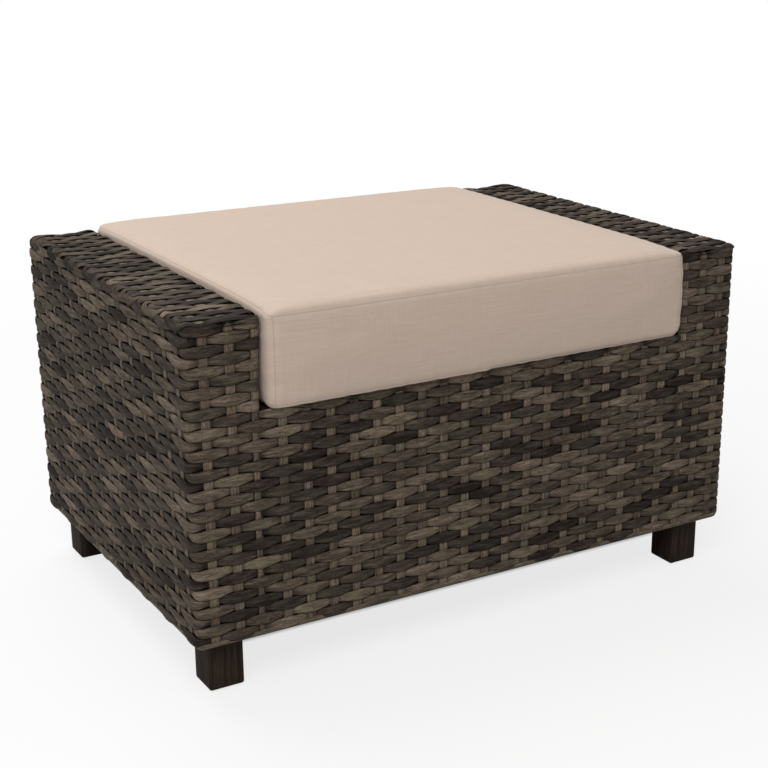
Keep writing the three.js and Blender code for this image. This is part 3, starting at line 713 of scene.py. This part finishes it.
def strand_tree():
    """Geometry Nodes: guide lines become flat strands that rise over the stakes and dive behind them."""
    tree = bpy.data.node_groups.new("woven strands", "GeometryNodeTree")
    measures = ("Strand width", "Neck share", "Thickness", "Relief", "Seat depth")
    sockets = [("Guides", "Geometry")] + [(name, "Float") for name in measures + ("Step",)]
    for name, kind in sockets + [("Sides", "Int"), ("Seed", "Int"), ("Finish", "Material")]:
        tree.interface.new_socket(name, in_out="INPUT", socket_type="NodeSocket" + kind)
    tree.interface.new_socket("Strands", in_out="OUTPUT", socket_type="NodeSocketGeometry")
    given = add(tree, "NodeGroupInput").outputs
    known = {name: given[name] for name in measures}
    for name in ("beat", "girth", "sink", "strand", "bias", "out"):
        kind = "FLOAT_VECTOR" if name == "out" else "FLOAT"
        known[name] = add(tree, "GeometryNodeInputNamedAttribute", {"Name": name}, data_type=kind).outputs[0]
    curves = add(tree, "GeometryNodeMeshToCurve", {"Mesh": given["Guides"]})
    curves = add(tree, "GeometryNodeResampleCurve", {"Curve": curves, "Length": given["Step"]}, mode="LENGTH")
    known["tangent"] = add(tree, "GeometryNodeInputTangent").outputs[0]
    # Odd beats are crests and even beats are dives. A strand is widest on its crest
    for name, kind, operation, values in (
        ("up", "VectorMath", "NORMALIZE", ("out",)),
        ("turn", "Math", "MULTIPLY", ("beat", math.pi)),
        ("wave", "Math", "COSINE", ("turn",)),
        ("crest", "Math", "MULTIPLY_ADD", ("wave", -0.5, 0.5)),
        ("below", "Math", "SUBTRACT", ("crest", 1.0)),
        ("fall", "Math", "MULTIPLY", ("Relief", "below")),
        ("centred", "Math", "MULTIPLY_ADD", ("Thickness", -0.5, "fall")),
        ("seated", "Math", "SUBTRACT", ("centred", "Seat depth")),
        ("depth", "Math", "SUBTRACT", ("seated", "sink")),
        ("offset", "VectorMath", "SCALE", ("up", (0, 0, 0), (0, 0, 0), "depth")),
        ("rest", "Math", "SUBTRACT", (1.0, "Neck share")),
        ("taper", "Math", "MULTIPLY_ADD", ("crest", "rest", "Neck share")),
        ("tapered", "Math", "MULTIPLY", ("Strand width", "taper")),
        ("width", "Math", "MULTIPLY", ("tapered", "girth")),
        ("thinner", "Math", "SUBTRACT", (2.0, "girth")),
        ("thick", "Math", "MULTIPLY", ("Thickness", "thinner")),
        ("crossed", "VectorMath", "CROSS_PRODUCT", ("tangent", "up")),
        ("across", "VectorMath", "NORMALIZE", ("crossed",)),
    ):
        inputs = dict(enumerate(known[value] if isinstance(value, str) else value for value in values))
        known[name] = add(tree, kind, inputs, operation=operation).outputs[0]
    curves = add(tree, "GeometryNodeSetPosition", {"Geometry": curves, "Offset": known["offset"]}).outputs[0]
    known["run"] = add(tree, "GeometryNodeSplineParameter").outputs["Length"]
    known["centre"] = add(tree, "GeometryNodeInputPosition").outputs[0]
    kept = add(tree, "GeometryNodeCaptureAttribute", domain="POINT")
    names = ("centre", "up", "across", "width", "thick", "beat", "run", "strand", "bias", "crest")
    for index, name in enumerate(names):
        kept.capture_items.new("VECTOR" if index < 3 else "FLOAT", name)
    tree.links.new(curves, kept.inputs[0])
    for index, name in enumerate(names):
        tree.links.new(known[name], kept.inputs[index + 1])
        known[name] = kept.outputs[index + 1]

    circle = add(tree, "GeometryNodeCurvePrimitiveCircle", {"Resolution": given["Sides"], "Radius": 1.0}).outputs[0]
    ring = add(tree, "GeometryNodeCaptureAttribute", domain="POINT")
    ring.capture_items.new("VECTOR", "ring")
    tree.links.new(circle, ring.inputs[0])
    tree.links.new(add(tree, "GeometryNodeInputPosition").outputs[0], ring.inputs[1])
    small = add(tree, "GeometryNodeTransform", {"Geometry": ring.outputs[0], "Scale": (0.001, 0.001, 0.001)})
    tubes = add(tree, "GeometryNodeCurveToMesh", {
        "Curve": kept.outputs[0], "Profile Curve": small, "Fill Caps": True})
    split = add(tree, "SeparateXYZ", {0: ring.outputs[1]}).outputs
    known["east"], known["north"] = split[0], split[1]
    # The section is a flat oval with squared ends and a slightly domed face
    for name, kind, operation, values in (
        ("east size", "Math", "ABSOLUTE", ("east",)),
        ("east full", "Math", "POWER", ("east size", 0.62)),
        ("east sign", "Math", "SIGN", ("east",)),
        ("east end", "Math", "MULTIPLY", ("east full", "east sign")),
        ("east half", "Math", "MULTIPLY", ("east end", 0.5)),
        ("side", "Math", "MULTIPLY", ("east half", "width")),
        ("north size", "Math", "ABSOLUTE", ("north",)),
        ("north full", "Math", "POWER", ("north size", 0.62)),
        ("north sign", "Math", "SIGN", ("north",)),
        ("north end", "Math", "MULTIPLY", ("north full", "north sign")),
        ("north half", "Math", "MULTIPLY", ("north end", 0.5)),
        ("rise", "Math", "MULTIPLY", ("north half", "thick")),
        ("outer", "Math", "GREATER_THAN", ("north", 0.0)),
        ("east squared", "Math", "MULTIPLY", ("east", "east")),
        ("dome", "Math", "MULTIPLY", ("east squared", -0.0007)),
        ("domed", "Math", "MULTIPLY_ADD", ("dome", "outer", "rise")),
        ("sideways", "VectorMath", "SCALE", ("across", (0, 0, 0), (0, 0, 0), "side")),
        ("upwards", "VectorMath", "SCALE", ("up", (0, 0, 0), (0, 0, 0), "domed")),
        ("shifted", "VectorMath", "ADD", ("centre", "sideways")),
        ("place", "VectorMath", "ADD", ("shifted", "upwards")),
        ("pair", "Math", "MULTIPLY", ("beat", 0.5)),
        ("float", "Math", "FLOOR", ("pair",)),
        ("whole", "Math", "ROUND", ("strand",)),
        ("identity", "Math", "MULTIPLY_ADD", ("whole", 64.0, "float")),
        ("surely", "Math", "ADD", ("identity", 0.25)),
    ):
        inputs = dict(enumerate(known[value] if isinstance(value, str) else value for value in values))
        known[name] = add(tree, kind, inputs, operation=operation).outputs[0]
    shaped = add(tree, "GeometryNodeSetPosition", {"Geometry": tubes, "Position": known["place"]})
    # Every float gets a tone of its own
    number = add(tree, "FunctionNodeFloatToInt", {0: known["surely"]}, rounding_mode="FLOOR")
    chance, again = (
        add(tree, "FunctionNodeRandomValue", {"ID": number, "Seed": seed}, data_type="FLOAT").outputs[1]
        for seed in (given["Seed"], 99))
    halved = add(tree, "Math", {0: again, 1: 0.4, 2: known["bias"]}, operation="MULTIPLY_ADD")
    known["tone"] = add(tree, "Math", {0: chance, 1: 0.6, 2: halved}, operation="MULTIPLY_ADD")
    known["rim"] = known["east full"]
    for name in ("tone", "run", "side", "strand", "rim", "crest"):
        shaped = add(tree, "GeometryNodeStoreNamedAttribute", {
            "Geometry": shaped, "Name": name, "Value": known[name]}, data_type="FLOAT", domain="POINT")
    for name in ("out", "beat", "girth", "sink", "bias"):
        shaped = add(tree, "GeometryNodeRemoveAttribute", {"Geometry": shaped, "Name": name})
    smooth = add(tree, "GeometryNodeSetShadeSmooth", {0: shaped})
    real = add(tree, "GeometryNodeRealizeInstances", {0: smooth})
    painted = add(tree, "GeometryNodeSetMaterial", {"Geometry": real, "Material": given["Finish"]})
    add(tree, "NodeGroupOutput", {0: painted})
    return tree


woven = strand_tree()


def run_tree(name, mesh, tree, values):
    """Runs a tree over a mesh with its named inputs set, and returns the result as a plain object."""
    source = put(mesh, name + "_guides")
    modifier = source.modifiers.new("tree", "NODES")
    modifier.node_group = tree
    for item in tree.interface.items_tree:
        if item.in_out == "INPUT" and item.name in values:
            modifier[item.identifier] = values[item.name]
    made = applied(source)
    bpy.data.objects.remove(source)
    made.name = name
    return put(made, name)


def widened(point):
    """The strands stand a little proud of the arm's inner edge, towards the cushion."""
    inner = clamped((0.312 - abs(point[0])) / 0.02) * (1.0 if abs(point[0]) > 0.284 else 0.0)
    inner = inner * clamped((point[2] - 0.37) / 0.05)
    return (point[0] - math.copysign(0.0030 * inner, point[0]), point[1], point[2] + 0.0008 * inner)


def strands(name, layers):
    """The object of all the strands kept under some names, each name with the values of its tubes."""
    parts = []
    for key, values in layers.items():
        kept = guides[key]
        mesh = bpy.data.meshes.new(name + "_lines")
        mesh.from_pydata([widened(point) for point in kept["co"]], kept["edge"], [])
        for field in guide_fields:
            kind, slot = ("FLOAT_VECTOR", "vector") if field == "out" else ("FLOAT", "value")
            layer = mesh.attributes.new(field, kind, "POINT")
            layer.data.foreach_set(slot, np.array(kept[field], dtype=np.float32).ravel())
        parts.append(run_tree(f"{name}_{key}", mesh, woven, values))
    if len(parts) > 1:
        with bpy.context.temp_override(active_object=parts[0], selected_editable_objects=parts, selected_objects=parts):
            bpy.ops.object.join()
    parts[0].name = name
    parts[0].data.name = name
    return parts[0]


wall_rows = {
    "Strand width": strand_width, "Neck share": strand_neck, "Thickness": strand_thick, "Relief": strand_relief,
    "Seat depth": skin, "Step": 0.0035, "Sides": 10, "Seed": 3, "Finish": wicker}
side_rows = {**wall_rows, "Strand width": 0.0126, "Neck share": 0.60, "Relief": 0.0021, "Thickness": 0.0018}
top_rows = {**wall_rows, "Strand width": 0.0150, "Neck share": 0.56, "Relief": 0.0025, "Thickness": 0.0018}
stakes = {
    "Strand width": stake_width, "Neck share": 0.94, "Thickness": stake_thick, "Relief": stake_relief,
    "Seat depth": stake_seat, "Step": 0.0035, "Sides": 8, "Seed": 5, "Finish": stake_wicker}
# Level strands behind the weave, edge to edge: a near-black layer of painted shade, which closes the gaps with the dark
# of the box's inside
shade_layer = {
    "Strand width": 0.0126, "Neck share": 1.0, "Thickness": 0.0012, "Relief": 0.0,
    "Seat depth": 0.0068, "Step": 0.006, "Sides": 6, "Seed": 7, "Finish": shade_backing_wicker}

panels = [(face, (f"{face}_weave",)) for face in ("front", "back", "left_side", "right_side")]
panels += [(f"{hand}_arm", tuple(f"{hand}_arm_{side}_weave" for side in ("front", "back", "inner")))
           for hand in ("left", "right")]
panels += [(f"{hand}_arm_top", (f"{hand}_arm_top_weave",)) for hand in ("left", "right")]
for face, nodes in panels:
    rows = top_rows if "top" in face else side_rows if "side" in face else wall_rows
    layers = {f"{face}_strands": rows, f"{face}_stakes": stakes, f"{face}_lining": shade_layer}
    made = strands(f"{face}_wicker", {key: values for key, values in layers.items() if key in guides})
    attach(made, "frame")
    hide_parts(*nodes)

deck = strands("deck_wicker", {
    "deck_strands": {**wall_rows, "Relief": 0.0042, "Step": 0.0055, "Sides": 8, "Finish": deck_wicker},
    "deck_stakes": {**stakes, "Step": 0.0055, "Sides": 6, "Finish": deck_wicker}})
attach(deck, "frame")
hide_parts("seat_deck_weave")

binding = strands("bottom_binding", {"bottom_strand": {
    **stakes, "Strand width": 0.0090, "Thickness": 0.0034, "Seat depth": 0.0, "Step": 0.004, "Sides": 10}})
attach(binding, "frame")

# Legs


def leg(name, node):
    """A squared leg with its corners eased and its grain upright."""
    low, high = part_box(node)
    shape = bmesh.new()
    bmesh.ops.create_cube(shape, size=1.0)
    for corner in shape.verts:
        for axis in range(3):
            corner.co[axis] = low[axis] if corner.co[axis] < 0 else high[axis]
    bmesh.ops.bevel(shape, geom=list(shape.edges), offset=0.0032, segments=4, profile=0.5, affect="EDGES")
    for face in shape.faces:
        face.smooth = True
    mesh = bpy.data.meshes.new(name)
    shape.to_mesh(mesh)
    shape.free()
    made = put(mesh, name, wood)
    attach(made, "frame")
    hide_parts(node)


for place in ("front_left", "front_right", "back_left", "back_right"):
    leg(f"square_leg_{place}", f"leg_{place}")

# Cushion

cushion_low, cushion_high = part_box("cushion_cover")
cushion_x = cushion_high[0]
cushion_front = cushion_low[1]
cushion_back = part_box("zip_tape")[0][1]
cushion_base = cushion_low[2]
cushion_top = cushion_high[2]
cushion_side = 0.2862
cushion_flat = 0.4472
seam_high = 0.4388
seam_low = 0.3390
side_corner = 0.0110
cushion_crown = 0.0040
cushion_tilt = 0.0010
front_swell = 0.0075
corner_swell = 0.0055
sim_frames = 20
sim_reach = 0.0010
groove_deep = 0.0005
no_seam = 0.05


def soften(point, low, high, corner, edge):
    """Pulls a point of a sharp box onto the same box with rounded corners and edges."""
    middle, half = (low + high) / 2, (high - low) / 2
    from_middle = point - middle
    core = np.clip(from_middle[:2], corner - half[:2], half[:2] - corner)
    away = from_middle[:2] - core
    length = float(np.linalg.norm(away))
    if length < 1e-6:
        return point
    away = away / length
    inward = corner - min(length, corner)
    up = half[2] - abs(from_middle[2])
    if inward < edge and up < edge:
        share = edge / math.hypot(edge - inward, edge - up)
        if share < 1.0:
            inward, up = edge - (edge - inward) * share, edge - (edge - up) * share
    flat = core + away * (corner - inward)
    return middle + np.array([flat[0], flat[1], math.copysign(half[2] - up, from_middle[2])])


def roll(inward, reach):
    """Rises as a quarter of an ellipse, from 0 at the edge to 1 at its reach."""
    share = clamped(inward / reach)
    return math.sqrt(share * (2 - share))


def side_height(before, behind):
    """The height of the cushion's top along its sides, which dips to the front and the back."""
    return 0.4462 - 0.0072 * np.exp(-before / 0.035) - 0.0040 * np.exp(-behind / 0.030)


def make_cushion():
    """The cover: a box with a crowned top and slightly full sides, given air, then one subdivision."""
    low = np.array([-cushion_side, cushion_front + 0.0012, cushion_base + 0.0012])
    high = np.array([cushion_side, cushion_back - 0.0012, cushion_flat])
    shape = bmesh.new()
    bmesh.ops.create_cube(shape, size=1.0)
    bmesh.ops.subdivide_edges(shape, edges=list(shape.edges), cuts=64, use_grid_fill=True)
    for corner_point in shape.verts:
        sharp = low + (np.array(corner_point.co) + 0.5) * (high - low)
        beside = min(sharp[0] - low[0], high[0] - sharp[0])
        edge = (0.0090 if sharp[0] > 0 else 0.0050) if sharp[2] < 0.38 else 0.0100 if beside > 0.02 else 0.0035
        point = soften(sharp, low, high, side_corner, edge)
        beside, behind, before = min(point[0] - low[0], high[0] - point[0]), high[1] - point[1], point[1] - low[1]
        middle = cushion_flat + cushion_crown * roll(before, 0.120) * roll(behind, 0.090)
        aside = float(side_height(before, behind))
        crown = aside + (middle - aside) * roll(beside, 0.075) - cushion_flat - cushion_tilt * point[0] / cushion_x
        point[2] += crown * clamped((point[2] - cushion_flat + 0.008) / 0.008)
        # The front stands fullest below its seam and falls back towards its foot
        bare = 1 - (abs(point[0]) / cushion_side) ** 8
        full = front_swell * max(1 - ((point[2] - 0.394) / 0.062) ** 2, 0.0) * bare
        point[1] -= full * max(1 - before / 0.02, 0.0)
        wide = corner_swell * math.sqrt(math.sin(math.pi * clamped((point[2] - cushion_base) / 0.112)))
        point[0] += math.copysign(wide, point[0]) * max(1 - before / 0.016, 0.0) * max(1 - beside / 0.03, 0.0)
        corner_point.co = point
    mesh = bpy.data.meshes.new("seat_cushion")
    shape.to_mesh(mesh)
    shape.free()
    made = put(mesh, "seat_cushion", cloth)
    remesh = made.modifiers.new("voxels", "REMESH")
    remesh.mode = "VOXEL"
    remesh.voxel_size = 0.0055
    made.data = applied(made)
    swell(made)
    divide = made.modifiers.new("subdivision", "SUBSURF")
    divide.levels = divide.render_levels = 1
    made.data = applied(made)
    made.data.materials.clear()
    made.data.materials.append(cloth)
    return made


def swell(made):
    """Air inside the cover: a short cloth simulation, each point held near where it began."""
    start = read(made.data.vertices, "co", 3)
    cloth_sim = made.modifiers.new("cloth", "CLOTH")
    settings = cloth_sim.settings
    settings.quality = 5
    settings.use_pressure = True
    settings.uniform_pressure_force = 4.0
    settings.tension_stiffness = 15
    settings.compression_stiffness = 15
    settings.bending_stiffness = 0.6
    settings.effector_weights.gravity = 0.0
    cloth_sim.point_cache.frame_start = 1
    cloth_sim.point_cache.frame_end = sim_frames
    scene = bpy.context.scene
    for number in range(1, sim_frames + 1):
        scene.frame_set(number)
    moved = read(applied(made).vertices, "co", 3) - start
    scene.frame_set(1)
    far = np.linalg.norm(moved, axis=1, keepdims=True)
    moved = moved * np.minimum(1.0, sim_reach / np.maximum(far, 1e-9))
    made.data.vertices.foreach_set("co", (start + moved).ravel())
    made.data.update()


cushion = make_cushion()


def finish_cushion(made):
    """Seams, puckers and the cloth's own map, and the limits that keep it inside the bay."""
    mesh = made.data
    co = read(mesh.vertices, "co", 3)
    middle_y = (cushion_front + cushion_back) / 2
    half_y = (cushion_back - cushion_front) / 2
    from_middle = co[:, 1] - middle_y
    edge_x = cushion_side - np.abs(co[:, 0])
    edge_y = half_y - np.abs(from_middle)
    side_on = edge_x < edge_y
    near_edge = np.minimum(edge_x, edge_y) < 0.03
    # The seam lies on the top's edge along the sides, and dips to the corners
    tilt = cushion_tilt * co[:, 0] / cushion_x
    along_side = side_height(co[:, 1] - cushion_front, cushion_back - co[:, 1]) - tilt - 0.0014
    above_seam = co[:, 2] - np.where(side_on, np.maximum(along_side, seam_high), seam_high)
    above_low = co[:, 2] - seam_low
    # Upright seams on the front and back faces, near their sides
    from_seam_x = np.abs(co[:, 0]) - (cushion_side - 0.0065)
    wall = (above_seam < 0.0) & (above_low > 0.0) & (edge_y < 0.03)
    side_line = np.where(wall & (np.abs(from_seam_x) < 0.02), from_seam_x, no_seam)
    seam = above_seam.copy()
    for other in (above_low, side_line):
        nearer = np.abs(other) < np.abs(seam)
        seam[nearer] = other[nearer]
    seam = np.where(near_edge, seam, no_seam)
    groove = groove_deep * np.exp(-(seam / 0.0022) ** 2)
    # Small puckers that run out from the seams
    around = np.where(side_on, co[:, 1], co[:, 0])
    ripple = 0.5 * np.sin(around * 2 * math.pi / 0.031 + 2.0 * np.sin(around * 23))
    ripple = ripple + 0.5 * np.sin(around * 2 * math.pi / 0.019 + 1.3)
    up_ripple = 0.5 * np.sin(co[:, 2] * 2 * math.pi / 0.033 + 1.1) + 0.5 * np.sin(co[:, 2] * 2 * math.pi / 0.021)
    pucker = 0.0004 * ripple * np.exp(-np.abs(seam) / 0.010)
    pucker = np.where(nearer, 0.0007 * up_ripple * np.exp(-np.abs(seam) / 0.009), pucker)
    co = co - read(mesh.vertices, "normal", 3) * (groove + np.where(near_edge, pucker, 0.0))[:, None]
    co[:, 2] = np.maximum(co[:, 2], cushion_base)
    co[:, 0] = np.clip(co[:, 0], -cushion_x - 0.0038, cushion_x + 0.0038)
    co[:, 1] = np.clip(co[:, 1], cushion_front - 0.006, cushion_back - 0.0002)
    mesh.vertices.foreach_set("co", co.ravel())
    layer = mesh.attributes.new("seam", "FLOAT", "POINT")
    layer.data.foreach_set("value", seam.astype(np.float32))
    # The cloth's map in metres: the top and bottom by plan, the sides by distance and height
    cloth_map = mesh.uv_layers.new(name="cloth")
    loops = read(mesh.loops, "vertex_index", kind=np.int32)
    starts, totals = (read(mesh.polygons, field, kind=np.int32) for field in ("loop_start", "loop_total"))
    face_of = np.repeat(np.arange(len(starts)), totals)
    above_face, below_face, face_x, face_y = (
        np.add.reduceat(values[loops], starts) / totals for values in (above_seam, above_low, edge_x, edge_y))
    flat = ((above_face > 0) | (below_face < 0))[face_of]
    sideways = (face_x < face_y)[face_of]
    drop = co[:, 2] - cushion_top
    spread = co[:, :2].copy()
    spread[side_on, 0] -= np.sign(co[side_on, 0]) * drop[side_on]
    spread[~side_on, 1] -= np.sign(from_middle[~side_on]) * drop[~side_on]
    uv = np.empty((len(loops), 2))
    uv[flat] = spread[loops[flat]]
    side, front = ~flat & sideways, ~flat & ~sideways
    uv[side] = co[loops[side]][:, 1:3] + np.array([1.7, 0.9])
    uv[front] = co[loops[front]][:, [0, 2]] + np.array([3.1, 0.3])
    cloth_map.data.foreach_set("uv", uv.astype(np.float32).ravel())
    mesh.polygons.foreach_set("use_smooth", [True] * len(mesh.polygons))
    mesh.update()


finish_cushion(cushion)
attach(cushion, "cushion")
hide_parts("cushion_cover", "foam_core")

# Finishes of the CAD pieces that show

finishes = {
    "frame_paint": coat, "bolt_steel": zinc, "glide_plastic": glide_plastic, "zip_tape": tape_cloth,
    "zip_metal": cast_zinc, "leg_wood": wood, "wicker": wicker, "deck_wicker": deck_wicker,
    "cushion_fabric": cloth, "foam": tape_cloth,
}
for part in frame["record"]["subparts"]:
    node = frame["nodes"][part["node"]]
    node.data.materials.clear()
    node.data.materials.append(finishes[part["material_slot"]])

# Floor, light and camera

floor_mesh = bpy.data.meshes.new("floor")
floor_mesh.from_pydata([(-60, -60, 0), (60, -60, 0), (60, 60, 0), (-60, 60, 0)], [], [(0, 1, 2, 3)])
paper = bpy.data.materials.new("white paper sweep")
paper.use_nodes = True
tree = paper.node_tree
tree.nodes.clear()
seen = add(tree, "LightPath").outputs
watched = add(tree, "Math", {
    0: seen["Is Camera Ray"], 1: seen["Is Transmission Ray"]}, operation="MAXIMUM")
# The paper sends less light back up than it shows to the camera, as a sweep lit from far above does
back_up = add(tree, "MapRange", {"Value": watched, "To Min": 0.72, "To Max": 1.0})
pale = add(tree, "VectorMath", {0: linear("#f2f2f1")[:3], "Scale": back_up}, operation="SCALE")
lit = add(tree, "BsdfDiffuse", {"Color": pale})
glow = add(tree, "Emission", {"Color": (1, 1, 1, 1), "Strength": 1.0})
spot = add(tree, "TexCoord").outputs["Object"]
away = add(tree, "VectorMath", {0: spot}, operation="LENGTH").outputs["Value"]
open_floor = add(tree, "MapRange", {
    "Value": away, "From Min": 0.7, "From Max": 2.2, "To Min": 0.78, "To Max": 1.0}, interpolation_type="SMOOTHSTEP")
# The floor beneath the box keeps its own dark, so that none of it shines through the weave
spot = add(tree, "SeparateXYZ", {0: spot}).outputs
open_share = add(tree, "Math", {0: watched, 1: open_floor}, operation="MULTIPLY")
beneath = 1.0
for axis, outside, inside in ((0, -0.327, -0.312), (0, 0.40, 0.37), (1, -0.143, -0.128), (1, 0.36, 0.31)):
    edge = add(tree, "MapRange", {"Value": spot[axis], "From Min": outside, "From Max": inside})
    beneath = add(tree, "Math", {0: edge, 1: beneath}, operation="MULTIPLY")
around = add(tree, "Math", {0: 1.0, 1: beneath}, operation="SUBTRACT")
share = add(tree, "Math", {0: open_share, 1: around}, operation="MULTIPLY")
mixed = add(tree, "MixShader", {0: share, 1: lit, 2: glow})
add(tree, "OutputMaterial", {0: mixed})
floor = put(floor_mesh, "floor", paper)

world = bpy.data.worlds.new("studio")
bpy.context.scene.world = world
world.use_nodes = True
tree = world.node_tree
tree.nodes.clear()
seen = add(tree, "LightPath").outputs
dim = add(tree, "Background", {"Color": (1, 1, 1, 1), "Strength": 0.36})
white = add(tree, "Background", {"Color": (1, 1, 1, 1), "Strength": 1.0})
watched = add(tree, "Math", {
    0: seen["Is Camera Ray"], 1: seen["Is Transmission Ray"]}, operation="MAXIMUM")
mixed = add(tree, "MixShader", {0: watched, 1: dim, 2: white})
add(tree, "OutputWorld", {0: mixed})


def lamp(name, place, aim, size, power):
    """A round lamp that faces a point."""
    light = bpy.data.lights.new(name, "AREA")
    light.shape = "DISK"
    light.size = size
    light.energy = power
    made = bpy.data.objects.new(name, light)
    made.location = place
    made.rotation_euler = (Vector(aim) - Vector(place)).to_track_quat("-Z", "Y").to_euler()
    bpy.context.scene.collection.objects.link(made)


lamp("overhead", (-0.5, 1.35, 3.0), (0, 0.1, 0.3), 2.4, 55)
lamp("front fill", (-1.7, -2.1, 2.9), (0, 0, 0.25), 2.0, 58)

# The camera that was solved on the photo. Its focal length and its middle are in pixels of a square picture
picture, focal, middle_x, middle_y = 768, 1517.5, 430, 400
azimuth, elevation, distance = math.radians(-31.439), math.radians(18.092), 2.0656
target = Vector((0.0791, 0.0, 0.2104))
backwards = Vector((
    math.sin(azimuth) * math.cos(elevation), -math.cos(azimuth) * math.cos(elevation), math.sin(elevation)))
lens = bpy.data.cameras.new("camera")
lens.sensor_width = 36
lens.lens = focal / picture * lens.sensor_width
lens.shift_x = -(middle_x - picture / 2) / picture
lens.shift_y = (middle_y - picture / 2) / picture
lens.clip_end = 200
camera = bpy.data.objects.new("camera", lens)
camera.location = target + backwards * distance
camera.rotation_euler = (-backwards).to_track_quat("-Z", "Y").to_euler()
bpy.context.scene.collection.objects.link(camera)
bpy.context.scene.camera = camera
bpy.context.scene.view_settings.view_transform = "Standard"
